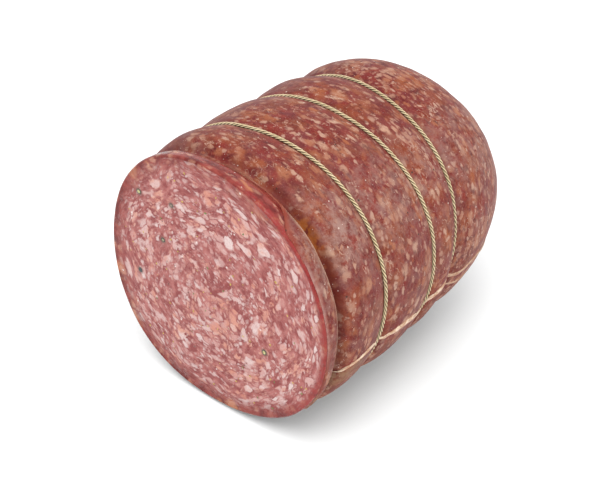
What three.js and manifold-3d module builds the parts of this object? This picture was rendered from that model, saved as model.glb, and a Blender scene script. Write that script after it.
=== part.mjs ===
// Half of a large cured sausage: coarse filling in a natural casing, bound round with three hoops of
// twine and gathered and tied at its rounded end. Millimetres. +Y runs from the flat cut face to the tied
// end, +Z is up, +X is across, and it lies on the flat that its own weight has pressed into its underside.
//
// "along" is a distance from the cut face, and "around" is an angle about the axis, from +X towards +Z.
import * as THREE from "three";
import { mergeVertices } from "three/addons/utils/BufferGeometryUtils.js";
import Module from "manifold-3d";

const wasm = await Module();
wasm.setup();

// The body, where no twine pulls it in.
const SWELL_RADIUS = 88.2;
const BODY_LENGTH = 221;
const DOME_START = 112;
const DOME_POWER = 2.75; // 2 is an ellipse, and more is blunter
const CUT_TAPER = 1.9; // how much narrower the body is at the cut face
const CUT_TAPER_LENGTH = 25;
const FLOOR_DROP = 84.0; // from the axis down to the flat underside

// How far the section is out of round, as shares of its radius: [waves around, cosine part, sine part].
const OUT_OF_ROUND_AT_CUT = [
  [2, 0.007, 0.008],
  [3, 0.012, -0.009],
  [4, -0.011, 0.001],
];
const OUT_OF_ROUND_AT_DOME = [
  [2, 0.002, -0.012],
  [3, -0.003, 0.009],
  [4, -0.009, 0.005],
];

// The casing and what is inside it.
const CASING_WALL = 1.0;
const FIT_GAP = 0.3;
const RIM_BEVEL = 1.2;

// The casing's cut edge: it reaches the cut face over the collar, on the right, and is drawn back to the
// old tie mark everywhere else. Distances are from the cut face, and angles are around.
const EDGE_ON_COLLAR = 1.6;
const EDGE_DRAWN_BACK = 11.8;
const COLLAR_FROM = -42;
const COLLAR_TO = 54;
const COLLAR_BLEND = 9;

// The casing gathered beyond the rounded end: [along, radius].
const NECK = [
  [220.7, 14],
  [221.8, 10],
  [222.6, 7],
  [229.3, 7],
  [231.5, 9],
  [235, 10],
  [237, 6.5],
];
const TIE_TURNS = [224.6, 227.3];
const TIE_NECK_RADIUS = 7;

// Twine, and the lines where it pulls the body in. A lean is the slope of a line's plane across and upwards.
const TWINE_RADIUS = 1.1;
const TWINE_SEAT = 3.6; // how far the flat underside lifts to let a hoop pass
const SEAT_WIDTH = 9; // to each side of the hoop
const OLD_TIE_MARK = { along: 14.9, depth: 7.7, width: 4.5, leanX: 0.009, leanZ: 0.018 };
const HOOPS = [
  { along: 50.6, depth: 4.4, width: 8, leanX: 0.043, leanZ: 0.019, knotAround: 172 },
  { along: 100.0, depth: 4.5, width: 8, leanX: 0.029, leanZ: 0.003, knotAround: 166 },
  { along: 136.6, depth: 7.6, width: 8.5, leanX: -0.098, leanZ: 0.078, knotAround: 169 },
];
const PINCHES = [OLD_TIE_MARK, ...HOOPS];
const KNOT_RADIUS = 2.5;
const TAIL_LENGTH = 13;

// Peppercorns that the knife went through: [across, up, radius], all flush with the cut face.
const PEPPERCORNS = [
  [-55.8, 46.7, 1.8],
  [-29.1, 47.7, 1.5],
  [-38.1, 20.4, 1.6],
  [-60.5, -11.0, 1.7],
  [40.0, -23.2, 1.8],
];
const PEPPERCORN_CLEARANCE = 0.3;

// How finely the faceted surfaces are stepped.
const SIDES = 48;
const ROWS_PER_SPAN = 6;
const BARE_ROWS = 3;
const DOME_ROWS = 9;
const TWINE_SIDES = 8;

const radians = THREE.MathUtils.degToRad;

function leather(color, roughness) {
  return new THREE.MeshStandardMaterial({ color, roughness, metalness: 0 });
}
const casingMaterial = leather(0x8c463f, 0.45);
const fillingMaterial = leather(0xc98080, 0.5);
const twineMaterial = leather(0xcdbb86, 0.9);
const pepperMaterial = leather(0x3a2f28, 0.8);

// Solids for joining and cutting.
function toSolid(geometry) {
  const bare = geometry.clone();
  bare.deleteAttribute("normal");
  bare.deleteAttribute("uv");
  const merged = mergeVertices(bare, 1e-4);
  const vertProperties = new Float32Array(merged.attributes.position.array);
  const triVerts = new Uint32Array(merged.index.array);
  return new wasm.Manifold(new wasm.Mesh({ numProp: 3, vertProperties, triVerts }));
}

function toGeometry(solid) {
  const mesh = solid.getMesh();
  const geometry = new THREE.BufferGeometry();
  geometry.setAttribute("position", new THREE.BufferAttribute(mesh.vertProperties, 3));
  geometry.setIndex(new THREE.BufferAttribute(mesh.triVerts, 1));
  return geometry;
}

// A closed surface through rings of points, with one point at each end. Each ring turns from +X to +Z.
// Faces point out if the rings start inside a hollow or at the cut face. If they start at the back, the
// faces are turned round.
function skinOver(startPoint, rings, endPoint, startsAtBack = false) {
  const sides = rings[0].length;
  const points = [startPoint, ...rings.flat(), endPoint];
  const last = points.length - 1;
  const index = [];
  for (let j = 0; j < sides; j += 1) {
    const next = (j + 1) % sides;
    index.push(0, 1 + j, 1 + next);
    for (let i = 0; i + 1 < rings.length; i += 1) {
      const a = 1 + i * sides;
      const b = a + sides;
      index.push(a + j, b + j, b + next);
      index.push(a + j, b + next, a + next);
    }
    const tail = 1 + (rings.length - 1) * sides;
    index.push(last, tail + next, tail + j);
  }
  if (startsAtBack) {
    index.reverse();
  }
  const geometry = new THREE.BufferGeometry().setFromPoints(points);
  geometry.setIndex(index);
  return geometry;
}

// The body's surface.
function outOfRound(along, around) {
  const share = Math.min(along / HOOPS[2].along, 1);
  let sum = 1;
  OUT_OF_ROUND_AT_CUT.forEach(([waves, cosine, sine], i) => {
    const [, endCosine, endSine] = OUT_OF_ROUND_AT_DOME[i];
    const c = THREE.MathUtils.lerp(cosine, endCosine, share);
    const s = THREE.MathUtils.lerp(sine, endSine, share);
    sum += c * Math.cos(waves * around) + s * Math.sin(waves * around);
  });
  return sum;
}

// A pinch line leans, so its distance along differs around the body. The rows between lines follow them.
function lean(along, around) {
  const stops = [
    { along: 0, leanX: 0, leanZ: 0 },
    ...PINCHES,
    { along: BODY_LENGTH, leanX: 0, leanZ: 0 },
  ];
  const next = Math.max(1, stops.findIndex((stop) => stop.along >= along));
  const [a, b] = [stops[next - 1], stops[next]];
  const t = (along - a.along) / (b.along - a.along);
  const leanX = THREE.MathUtils.lerp(a.leanX, b.leanX, t);
  const leanZ = THREE.MathUtils.lerp(a.leanZ, b.leanZ, t);
  return SWELL_RADIUS * (leanX * Math.cos(around) + leanZ * Math.sin(around));
}

function pull(along, pinch) {
  const off = (along - pinch.along) / pinch.width;
  return pinch.depth / (1 + off * off);
}

function seatUnder(along, hoop) {
  const off = (along - hoop.along) / SEAT_WIDTH;
  return TWINE_SEAT * Math.max(0, 1 - off * off) ** 2;
}

function bodyRadius(along, inset) {
  const taper = CUT_TAPER * (1 - THREE.MathUtils.smoothstep(along, 0, CUT_TAPER_LENGTH));
  const past = Math.max(0, along - DOME_START) / (BODY_LENGTH - inset - DOME_START);
  const fall = Math.max(0, 1 - past ** DOME_POWER) ** (1 / DOME_POWER);
  const pinched = PINCHES.reduce((sum, pinch) => sum + pull(along, pinch), 0);
  return (SWELL_RADIUS - taper - inset - pinched) * fall;
}

function bodyPoint(along, around, inset) {
  const radius = bodyRadius(along, inset) * outOfRound(along, around);
  const seat = HOOPS.reduce((sum, hoop) => sum + seatUnder(along, hoop), 0);
  const lowest = -(FLOOR_DROP - inset - seat);
  const x = radius * Math.cos(around);
  const z = Math.max(radius * Math.sin(around), lowest);
  const slide = lean(along, around) * THREE.MathUtils.clamp(radius / SWELL_RADIUS, 0, 1);
  return new THREE.Vector3(x, along + slide, z);
}

function edgeAt(around) {
  const degrees = THREE.MathUtils.radToDeg(around);
  const turned = degrees > 180 ? degrees - 360 : degrees;
  const past = Math.max(COLLAR_FROM - turned, turned - COLLAR_TO);
  const share = THREE.MathUtils.smoothstep(past, -COLLAR_BLEND / 2, COLLAR_BLEND / 2);
  return THREE.MathUtils.lerp(EDGE_ON_COLLAR, EDGE_DRAWN_BACK, share);
}

function ringOf(pointAt) {
  return Array.from({ length: SIDES }, (_, j) => pointAt((j / SIDES) * 2 * Math.PI));
}

// Shares of a span at which its rows lie, crowded towards both ends.
function crowded(count) {
  return Array.from({ length: count }, (_, k) => (1 - Math.cos((Math.PI * k) / count)) / 2);
}

// Rings from one line round the body up to the next, which is left out. A line is a distance along, or a
// function that gives one for each angle around.
function ringsBetween(fromLine, toLine, count, inset) {
  const at = (line, around) => (typeof line === "function" ? line(around) : line);
  return crowded(count).map((share) =>
    ringOf((around) => {
      const along = THREE.MathUtils.lerp(at(fromLine, around), at(toLine, around), share);
      return bodyPoint(along, around, inset);
    }),
  );
}

// The dome beyond the last hoop, in rows that follow its round.
function domeRings(inset) {
  const domeLength = BODY_LENGTH - inset - DOME_START;
  const from = Math.asin(((HOOPS.at(-1).along - DOME_START) / domeLength) ** (DOME_POWER / 2));
  return Array.from({ length: DOME_ROWS }, (_, k) => {
    const turn = THREE.MathUtils.lerp(from, Math.PI / 2, k / DOME_ROWS);
    const along = DOME_START + domeLength * Math.sin(turn) ** (2 / DOME_POWER);
    return ringOf((around) => bodyPoint(along, around, inset));
  });
}

// All the rings from the casing's edge to the dome's end.
function bodyRings(inset) {
  const lines = [edgeAt, ...PINCHES.map((pinch) => pinch.along)];
  const spans = lines.slice(1).map((line, i) => ringsBetween(lines[i], line, ROWS_PER_SPAN, inset));
  return [...spans.flat(), ...domeRings(inset)];
}

function makeCasing() {
  const neck = NECK.map(([along, radius]) =>
    ringOf((around) => new THREE.Vector3(radius * Math.cos(around), along, radius * Math.sin(around))),
  );
  const tip = new THREE.Vector3(0, NECK.at(-1)[0], 0);
  const innerEnd = new THREE.Vector3(0, BODY_LENGTH - CASING_WALL, 0);
  return skinOver(innerEnd, [...bodyRings(CASING_WALL).reverse(), ...bodyRings(0), ...neck], tip);
}

// The filling: a flat cut face with a small bevel at its rim, then the inside of the casing.
function makeFilling() {
  const inset = CASING_WALL + FIT_GAP;
  const rows = [...ringsBetween(RIM_BEVEL, edgeAt, BARE_ROWS, inset), ...bodyRings(inset)];
  const face = ringOf((around) => {
    const rim = bodyPoint(0, around, inset + RIM_BEVEL);
    return new THREE.Vector3(rim.x, 0, rim.z);
  });
  const backEnd = new THREE.Vector3(0, BODY_LENGTH - inset, 0);
  const faceMiddle = new THREE.Vector3(0, 0, 0);
  const whole = toSolid(skinOver(backEnd, [...rows.reverse(), face], faceMiddle, true));
  const pockets = PEPPERCORNS.map(([x, z, radius]) => {
    const ball = new THREE.SphereGeometry(radius + PEPPERCORN_CLEARANCE, 12, 8);
    return toSolid(ball.translate(x, 0, z));
  });
  return toGeometry(pockets.reduce((solid, pocket) => solid.subtract(pocket), whole));
}

// A peppercorn cut in half: a flat on the cut face and a round back inside the filling.
function makePeppercorn([x, z, radius]) {
  const profile = [new THREE.Vector2(0, 0)];
  for (let k = 0; k <= 4; k += 1) {
    const turn = (Math.PI / 2) * (k / 4);
    profile.push(new THREE.Vector2(radius * Math.cos(turn), radius * Math.sin(turn)));
  }
  profile.at(-1).x = 0;
  return new THREE.LatheGeometry(profile, 10).translate(x, 0, z);
}

// Twine. A closed hoop follows the skin, and a tail is a short round stretch of it.
function tubeRound(centres) {
  const count = centres.length;
  const points = [];
  const index = [];
  const middle = centres.reduce((sum, point) => sum.add(point), new THREE.Vector3()).divideScalar(count);
  centres.forEach((centre, i) => {
    const ahead = centres[(i + 1) % count];
    const behind = centres[(i + count - 1) % count];
    const forward = ahead.clone().sub(behind).normalize();
    const out = centre.clone().sub(middle);
    out.addScaledVector(forward, -out.dot(forward)).normalize();
    const side = out.clone().cross(forward);
    for (let k = 0; k < TWINE_SIDES; k += 1) {
      const turn = (k / TWINE_SIDES) * 2 * Math.PI;
      const point = centre.clone().addScaledVector(out, TWINE_RADIUS * Math.cos(turn));
      points.push(point.addScaledVector(side, TWINE_RADIUS * Math.sin(turn)));
    }
  });
  for (let i = 0; i < count; i += 1) {
    for (let k = 0; k < TWINE_SIDES; k += 1) {
      const a = i * TWINE_SIDES;
      const b = ((i + 1) % count) * TWINE_SIDES;
      const next = (k + 1) % TWINE_SIDES;
      index.push(a + k, b + k, b + next);
      index.push(a + k, b + next, a + next);
    }
  }
  const geometry = new THREE.BufferGeometry().setFromPoints(points);
  geometry.setIndex(index);
  return geometry;
}

function tailAlong(points) {
  const circle = new THREE.Shape();
  circle.absarc(0, 0, TWINE_RADIUS * 0.9, 0, 2 * Math.PI);
  const extrudePath = new THREE.CatmullRomCurve3(points);
  return new THREE.ExtrudeGeometry(circle, { steps: 6, curveSegments: TWINE_SIDES / 2, extrudePath });
}

function knotAt(centre) {
  return new THREE.SphereGeometry(KNOT_RADIUS, 12, 8).translate(centre.x, centre.y, centre.z);
}

function join(geometries) {
  return toGeometry(geometries.map(toSolid).reduce((whole, solid) => whole.add(solid)));
}

function overSkin(along, around, lift) {
  const point = bodyPoint(along, around, 0);
  const out = new THREE.Vector3(Math.cos(around), 0, Math.sin(around));
  return point.addScaledVector(out, lift);
}

function makeHoop(hoop) {
  const lift = TWINE_RADIUS + FIT_GAP;
  const loop = tubeRound(ringOf((around) => overSkin(hoop.along, around, lift)));
  const knotTurn = radians(hoop.knotAround);
  const knot = knotAt(overSkin(hoop.along, knotTurn, KNOT_RADIUS + FIT_GAP));
  const tails = [-1, 1].map((way) => {
    const points = [0, 0.35, 0.7, 1].map((share) => {
      const around = knotTurn + (way * share * 0.8 * TAIL_LENGTH) / SWELL_RADIUS;
      const along = hoop.along + way * share * 0.6 * TAIL_LENGTH;
      return overSkin(along, around, TWINE_RADIUS + 0.9 + share);
    });
    return tailAlong(points);
  });
  return join([loop, knot, ...tails]);
}

function makeEndTie() {
  const loopRadius = TIE_NECK_RADIUS + FIT_GAP + TWINE_RADIUS;
  const turns = TIE_TURNS.map((along) => {
    const centres = Array.from({ length: 24 }, (_, j) => {
      const around = (j / 24) * 2 * Math.PI;
      return new THREE.Vector3(loopRadius * Math.cos(around), along, loopRadius * Math.sin(around));
    });
    return tubeRound(centres);
  });
  const middle = (TIE_TURNS[0] + TIE_TURNS[1]) / 2;
  const top = new THREE.Vector3(0, middle, loopRadius + TWINE_RADIUS);
  const tails = [-1, 1].map((way) => {
    const bend = new THREE.Vector3(way * 5, middle + 0.5, loopRadius + 2.5);
    const tip = new THREE.Vector3(way * 10, middle + 1.5, loopRadius + 1);
    return tailAlong([top, bend, tip]);
  });
  return join([...turns, knotAt(top), ...tails]);
}

const body = new THREE.Group();

function addPiece(name, geometry, material) {
  const piece = new THREE.Mesh(geometry, material);
  piece.name = name;
  body.add(piece);
}

addPiece("meat_filling", makeFilling(), fillingMaterial);
addPiece("casing", makeCasing(), casingMaterial);
HOOPS.forEach((hoop, i) => addPiece(`twine_hoop_${i + 1}`, makeHoop(hoop), twineMaterial));
addPiece("end_tie", makeEndTie(), twineMaterial);
PEPPERCORNS.forEach((corn, i) => addPiece(`peppercorn_${i + 1}`, makePeppercorn(corn), pepperMaterial));

// The origin is on the ground, under the axis and halfway along the whole sausage.
const bounds = new THREE.Box3().setFromObject(body);
body.position.set(0, -bounds.getCenter(new THREE.Vector3()).y, -bounds.min.z);

const sausage = new THREE.Group();
sausage.add(body);

export default sausage;
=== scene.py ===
"""Half of a large cured sausage, lying on a pale floor: a marbled cut face, a mottled natural casing with
its overlapped seam, three hoops of plied twine with their knots, and a gathered, tied end.

Metres. +Y runs from the cut face to the tied end, and +Z is up. "along" is a distance from the cut face,
and "around" is an angle about the sausage's axis, from +X towards +Z."""

import math

import bpy
import numpy as np
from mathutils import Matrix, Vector


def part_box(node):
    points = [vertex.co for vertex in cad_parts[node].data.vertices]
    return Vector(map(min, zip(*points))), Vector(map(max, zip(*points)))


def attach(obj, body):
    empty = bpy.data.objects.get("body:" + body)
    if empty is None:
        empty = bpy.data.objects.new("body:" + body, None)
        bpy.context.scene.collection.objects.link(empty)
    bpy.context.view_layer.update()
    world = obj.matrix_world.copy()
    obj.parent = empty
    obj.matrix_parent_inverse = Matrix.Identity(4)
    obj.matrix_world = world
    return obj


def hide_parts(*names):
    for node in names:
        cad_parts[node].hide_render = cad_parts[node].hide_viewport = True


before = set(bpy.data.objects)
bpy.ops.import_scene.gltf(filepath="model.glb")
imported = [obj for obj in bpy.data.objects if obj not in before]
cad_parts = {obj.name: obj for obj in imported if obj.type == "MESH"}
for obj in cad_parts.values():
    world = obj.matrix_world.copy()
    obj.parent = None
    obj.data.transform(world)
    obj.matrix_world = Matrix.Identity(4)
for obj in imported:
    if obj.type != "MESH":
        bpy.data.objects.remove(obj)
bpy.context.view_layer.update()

MM = 0.001
DEGREE = math.pi / 180

# The body, where no twine pulls it in.
SWELL_RADIUS = 88.2 * MM
BODY_LENGTH = 221 * MM
DOME_START = 112 * MM
DOME_POWER = 2.75
CUT_TAPER = 1.9 * MM
CUT_TAPER_LENGTH = 25 * MM
AXIS_HEIGHT = 84.0 * MM
FLOOR_ROUNDING = 1.0 * MM
CUT_FACE_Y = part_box("meat_filling")[0].y

# How far the section is out of round, as shares of its radius: (waves around, cosine part, sine part).
OUT_OF_ROUND_AT_CUT = ((2, 0.007, 0.008), (3, 0.012, -0.009), (4, -0.011, 0.001))
OUT_OF_ROUND_AT_DOME = ((2, 0.002, -0.012), (3, 0.007, 0.015), (4, -0.009, 0.005))

# How far a hoop's middle line lies off the skin, and how far the flat underside lifts to let it pass.
TWINE_LIFT = 0.85 * MM
TWINE_SEAT = 3.6 * MM
SEAT_WIDTH = 9 * MM


class Pinch:
    """A line round the body that pulls it in. Its leans are the slopes of its plane across and upwards."""

    def __init__(self, along, depth, width, lean_x, lean_z, knot_around=0.0):
        self.along = along * MM
        self.depth = depth * MM
        self.width = width * MM
        self.lean_x = lean_x
        self.lean_z = lean_z
        self.knot_around = knot_around * DEGREE


OLD_TIE_MARK = Pinch(14.9, 7.7, 4.5, 0.009, 0.018)
HOOPS = (
    Pinch(50.6, 4.4, 8.0, 0.043, 0.019, knot_around=172),
    Pinch(100.0, 4.5, 8.0, 0.029, 0.003, knot_around=166),
    Pinch(136.6, 7.6, 8.5, -0.098, 0.078, knot_around=169),
)
PINCHES = (OLD_TIE_MARK,) + HOOPS

# The casing. Over the collar, on the right, it reaches the cut face. Elsewhere it is drawn back.
CASING_WALL = 0.9 * MM
THIN_EDGE = 1.8 * MM
EDGE_ON_COLLAR = 1.3 * MM
EDGE_DRAWN_BACK = 12.8 * MM
COLLAR_FROM = -42.0
COLLAR_TO = 54.0
COLLAR_BLEND = 13.0

# The gathered end of the casing: (along, radius), in millimetres.
NECK = ((219.3, 17.6), (220.6, 14.2), (221.6, 10.4), (222.8, 7.6), (224.4, 6.9), (226.2, 6.8), (228.2, 6.9),
        (229.6, 7.4), (231.4, 9.0), (233.2, 10.0), (235.0, 9.6), (236.1, 7.4))
NECK_TIP = 236.4

# The filling.
FILLING_INSET = 1.2 * MM
RIM_ROUND_ON_COLLAR = 1.3 * MM
RIM_ROUND_BARE = 1.9 * MM
SIDE_PROUD = 0.9 * MM
RIM_REDDENED = 10.5 * MM


# Smooth noise that is the same on every run. Large odd factors mix a cell's place and the seed.
HASH_FACTORS = (73856093, 19349663, 83492791)
HASH_SEED_FACTOR = 40503
HASH_MIXER = 1274126177


def value_noise(points, size, seed):
    """Noise from -1 to 1 at each point, in lumps of the given size."""
    scaled = points / size + 37.0
    cell = np.floor(scaled).astype(np.int64)
    share = scaled - cell
    share = share * share * (3 - 2 * share)
    total = np.zeros(len(points))
    for corner in range(8):
        offset = np.array([corner & 1, (corner >> 1) & 1, (corner >> 2) & 1])
        x, y, z = ((cell + offset) * HASH_FACTORS).T
        mixed = x ^ y ^ z ^ (seed * HASH_SEED_FACTOR)
        mixed = ((mixed ^ (mixed >> 13)) * HASH_MIXER) & 0xFFFFFFFF
        height = ((mixed ^ (mixed >> 16)) & 0xFFFF) / 32767.5 - 1
        total += height * np.prod(np.where(offset == 1, share, 1 - share), axis=1)
    return total


def smooth_step(value, low, high):
    """0 below low and 1 above high, eased between them."""
    share = np.clip((value - low) / (high - low), 0, 1)
    return share * share * (3 - 2 * share)


def bell(offset, width):
    """1 where there is no offset, fading out over about the width."""
    return np.exp(-((offset / width) ** 2))


def turned_degrees(around):
    """The angle in degrees, from -180 to 180."""
    return (np.degrees(around) + 180) % 360 - 180


# The body's surface. These take arrays of distances along and of angles around.
def out_of_round(along, around):
    """The radius as a share of a true circle's."""
    share = np.minimum(along / HOOPS[2].along, 1)
    total = np.ones_like(around)
    for at_cut, at_dome in zip(OUT_OF_ROUND_AT_CUT, OUT_OF_ROUND_AT_DOME):
        waves, cos_cut, sin_cut = at_cut
        _, cos_dome, sin_dome = at_dome
        cosine = cos_cut + (cos_dome - cos_cut) * share
        sine = sin_cut + (sin_dome - sin_cut) * share
        total = total + cosine * np.cos(waves * around) + sine * np.sin(waves * around)
    return total


def lean(along, around):
    """How far a leaning line round the body slides towards +Y."""
    stops = [0] + [pinch.along for pinch in PINCHES] + [BODY_LENGTH]
    lean_x = np.interp(along, stops, [0] + [pinch.lean_x for pinch in PINCHES] + [0])
    lean_z = np.interp(along, stops, [0] + [pinch.lean_z for pinch in PINCHES] + [0])
    return SWELL_RADIUS * (lean_x * np.cos(around) + lean_z * np.sin(around))


def body_radius(along, inset):
    """The radius along the body: a cylinder with a blunt dome, pulled in where it is or was tied."""
    taper = CUT_TAPER * (1 - smooth_step(along, 0, CUT_TAPER_LENGTH))
    past = np.maximum(0, along - DOME_START) / (BODY_LENGTH - inset - DOME_START)
    fall = np.maximum(0, 1 - past**DOME_POWER) ** (1 / DOME_POWER)
    pulled = sum(pinch.depth / (1 + ((along - pinch.along) / pinch.width) ** 2) for pinch in PINCHES)
    return (SWELL_RADIUS - taper - inset - pulled) * fall


def body_point(along, around, inset=0.0, lift=0.0):
    """Points on the body's surface, set in by inset and raised by lift, but never below the floor."""
    radius = body_radius(along, inset) * out_of_round(along, around) + lift
    offs = [(along - hoop.along) / SEAT_WIDTH for hoop in HOOPS]
    seat = sum(TWINE_SEAT * np.maximum(0, 1 - off**2) ** 2 for off in offs)
    lowest = -(AXIS_HEIGHT - inset - seat)
    above = radius * np.sin(around) - lowest
    z = lowest + (above + np.sqrt(above**2 + FLOOR_ROUNDING**2)) / 2
    slide = lean(along, around) * np.clip(radius / SWELL_RADIUS, 0, 1)
    return np.stack([radius * np.cos(around), CUT_FACE_Y + along + slide, z + AXIS_HEIGHT], axis=-1)


def over_skin(along, around, lift):
    """Points a given lift above the skin, straight out from the axis."""
    along, around = np.broadcast_arrays(np.asarray(along, float), np.asarray(around, float))
    out = np.stack([np.cos(around), np.zeros_like(around), np.sin(around)], axis=-1)
    return body_point(along, around) + out * np.asarray(lift)[..., None]


def off_collar(around):
    """0 over the collar, where the casing reaches the cut face, and 1 where it is drawn back."""
    degrees = turned_degrees(around)
    past = np.maximum(COLLAR_FROM - degrees, degrees - COLLAR_TO)
    return smooth_step(past, -COLLAR_BLEND / 2, COLLAR_BLEND / 2)


def right_side(around):
    """1 where the old tie mark is a deep crease, on the right, fading to 0 round the rest."""
    degrees = turned_degrees(around)
    return smooth_step(degrees, -75, -25) * (1 - smooth_step(degrees, 62, 104))


def casing_edge(around):
    """How far from the cut face the casing's slightly ragged edge lies."""
    ragged = 0.5 * np.sin(9 * around + 1) + 0.35 * np.sin(23 * around) + 0.25 * np.sin(41 * around + 2)
    bare = off_collar(around)
    return EDGE_ON_COLLAR + (EDGE_DRAWN_BACK - EDGE_ON_COLLAR) * bare + ragged * MM * (0.25 + 0.5 * bare)


# The seam, where the outer layer of the overlapped casing ends, its fork, and the flap's edge on the collar.
# Their lines are (along in millimetres, around in degrees). Their half widths are in millimetres.
SEAM = ((13.0, -23.6), (17, -21.5), (22, -17.3), (26, -15.7), (32, -15.3), (42, -15.7), (52, -17.6),
        (60, -16.9), (70, -16.4), (80, -17.2), (90, -19.8), (99, -21.6), (104, -17.2), (110, -15.6),
        (118, -13.4), (126, -13.2), (136, -16.0), (146, -17.2), (160, -14.0), (176, -15.5), (190, -18))
SEAM_HALF_WIDTHS = (1.0, 1.0, 0.9, 1.2, 2.2, 2.9, 2.0, 1.7, 1.3, 0.9, 0.7, 0.4)
SEAM_BRANCH = ((118, -13.6), (122.5, -14.6), (127, -17.4), (132.5, -20), (142.5, -22.7), (152.5, -23.3),
               (160, -20.9))
SEAM_BRANCH_HALF_WIDTHS = (0.5, 0.9, 1.2, 1.1, 0.9, 0.7, 0.4)
FLAP_EDGE = ((8.6, -39), (9.6, -34.5), (11.2, -29.5), (12.4, -26.4), (12.9, -23.2))
FLAP_EDGE_HALF_WIDTHS = (1.0, 1.2, 1.0, 0.8)
SEAM_STEP = 0.75 * MM


def along_line(line, along):
    """The angle around at which a line of (along, around) points crosses each distance along."""
    return np.interp(along / MM, [point[0] for point in line], [point[1] for point in line])


# The skin's relief. It bulges to each side of a hoop, which lies in a shallow groove. At the old tie mark it
# stands up in a lip and sinks into a crease behind it, both deeper on the right.
LUMPS = ((0.75, 42, 3), (0.34, 15, 5), (0.16, 6.5, 8))  # height and size in millimetres, noise seed
BULGE_HEIGHT = 0.5 * MM
BULGE_OFF = 4.4 * MM
BULGE_WIDTH = 2.2 * MM
HOOP_GROOVE_DEPTH = 0.45 * MM
HOOP_GROOVE_WIDTH = 1.9 * MM
LIP_ALONG = 12.9 * MM
LIP_WIDTH = 1.7 * MM
CREASE_ALONG = 16.4 * MM
CREASE_WIDTH = 1.5 * MM


def surface_lift(along, around):
    """The lumps, puckers and folds of the surface, above or below its plain shape."""
    plain = body_point(along, around)
    lift = sum(height * MM * value_noise(plain, size * MM, seed) for height, size, seed in LUMPS)
    calm = smooth_step(along, 3 * MM, 9 * MM)
    for number, hoop in enumerate(HOOPS):
        off = along - hoop.along
        pucker = 1 + 0.55 * value_noise(plain, 9 * MM, 20 + number)
        bulge = BULGE_HEIGHT * pucker * bell(np.abs(off) - BULGE_OFF, BULGE_WIDTH)
        lift += bulge - HOOP_GROOVE_DEPTH * bell(off, HOOP_GROOVE_WIDTH)
    right = right_side(around)
    uneven = 1 + 0.3 * value_noise(plain, 16 * MM, 31)
    lift += (0.95 * MM * right + 0.15 * MM) * uneven * bell(along - LIP_ALONG, LIP_WIDTH) * calm
    lift -= (2.1 * MM * right + 0.3 * MM) * uneven * bell(along - CREASE_ALONG, CREASE_WIDTH)
    gathered = smooth_step(along, 188 * MM, 219 * MM)
    folds = np.sin(15 * around + 2.2 * value_noise(plain, 26 * MM, 41)) + 0.5 * np.sin(31 * around + 1.3)
    lift += 0.6 * MM * gathered * folds
    return lift * (0.35 + 0.65 * calm)


# Meshes.
def make_mesh(name, points, faces, material):
    """A smooth-shaded piece from points and faces."""
    mesh = bpy.data.meshes.new(name)
    mesh.from_pydata(np.asarray(points).tolist(), [], faces)
    mesh.update()
    mesh.polygons.foreach_set("use_smooth", [True] * len(mesh.polygons))
    mesh.materials.append(material)
    piece = bpy.data.objects.new(name, mesh)
    bpy.context.scene.collection.objects.link(piece)
    return piece


def skin_over(rings, start, end):
    """Points and faces of a closed surface through equal rings of points, with one point at each end.

    Its faces point out if the rings turn from +X towards +Z and go towards +Y."""
    count, sides, _ = rings.shape
    points = np.concatenate([[start], rings.reshape(-1, 3), [end]])
    last = len(points) - 1
    here = np.arange(sides)
    following = (here + 1) % sides
    faces = [(0, 1 + a, 1 + b) for a, b in zip(here.tolist(), following.tolist())]
    for i in range(count - 1):
        low = 1 + i * sides
        high = low + sides
        faces += np.stack([low + here, high + here, high + following, low + following], axis=1).tolist()
    tail = 1 + (count - 1) * sides
    faces += [(last, tail + b, tail + a) for a, b in zip(here.tolist(), following.tolist())]
    return points, faces


def store(piece, name, values):
    """Keeps one number for each point of a piece, for its material to read."""
    attribute = piece.data.attributes.new(name, "FLOAT", "POINT")
    attribute.data.foreach_set("value", np.asarray(values, dtype=np.float32))


def rows_of(alongs, arounds):
    """Grids of along and around from a list of rows, each a number or one value for each angle."""
    grid = np.array([np.broadcast_to(row, arounds.shape) for row in alongs], dtype=float)
    return grid, np.broadcast_to(arounds, grid.shape)


def crowded_rows(start, stop, count, crowds):
    """Distances from start to stop that lie closer together near each (place, reach, strength)."""
    fine = np.linspace(start, stop, 4000)
    weight = np.ones_like(fine)
    for place, reach, strength in crowds:
        weight += strength * bell(fine - place, reach)
    total = np.concatenate([[0], np.cumsum((weight[1:] + weight[:-1]) / 2)])
    return np.interp(np.linspace(0, total[-1], count), total, fine)


def smooth_line(points, count):
    """A smooth line through points, as evenly spaced points along it."""
    points = np.asarray(points, dtype=float)
    padded = np.concatenate([[2 * points[0] - points[1]], points, [2 * points[-1] - points[-2]]])
    share = np.linspace(0, 1, 12, endpoint=False)[:, None]
    spans = []
    for i in range(len(points) - 1):
        a, b, c, d = padded[i:i + 4]
        squared = (2 * a - 5 * b + 4 * c - d) * share**2
        cubed = (3 * b - a - 3 * c + d) * share**3
        spans.append(0.5 * (2 * b + (c - a) * share + squared + cubed))
    fine = np.concatenate(spans + [points[-1:]])
    run = np.concatenate([[0], np.cumsum(np.linalg.norm(np.diff(fine, axis=0), axis=1))])
    even = np.linspace(0, run[-1], count)
    return np.stack([np.interp(even, run, column) for column in fine.T], axis=1)


# Shader nodes.
def add(tree, kind, values=None, **settings):
    """A new node with its settings, and with inputs set to values or linked to other nodes' outputs."""
    made = tree.nodes.new(kind)
    for name, value in settings.items():
        setattr(made, name, value)
    for name, value in (values or {}).items():
        if isinstance(value, bpy.types.NodeSocket):
            tree.links.new(value, made.inputs[name])
        else:
            made.inputs[name].default_value = value
    return made


def calc(tree, operation, a, b=0.0, c=0.0):
    """One step of arithmetic."""
    return add(tree, "ShaderNodeMath", {0: a, 1: b, 2: c}, operation=operation).outputs[0]


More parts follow.
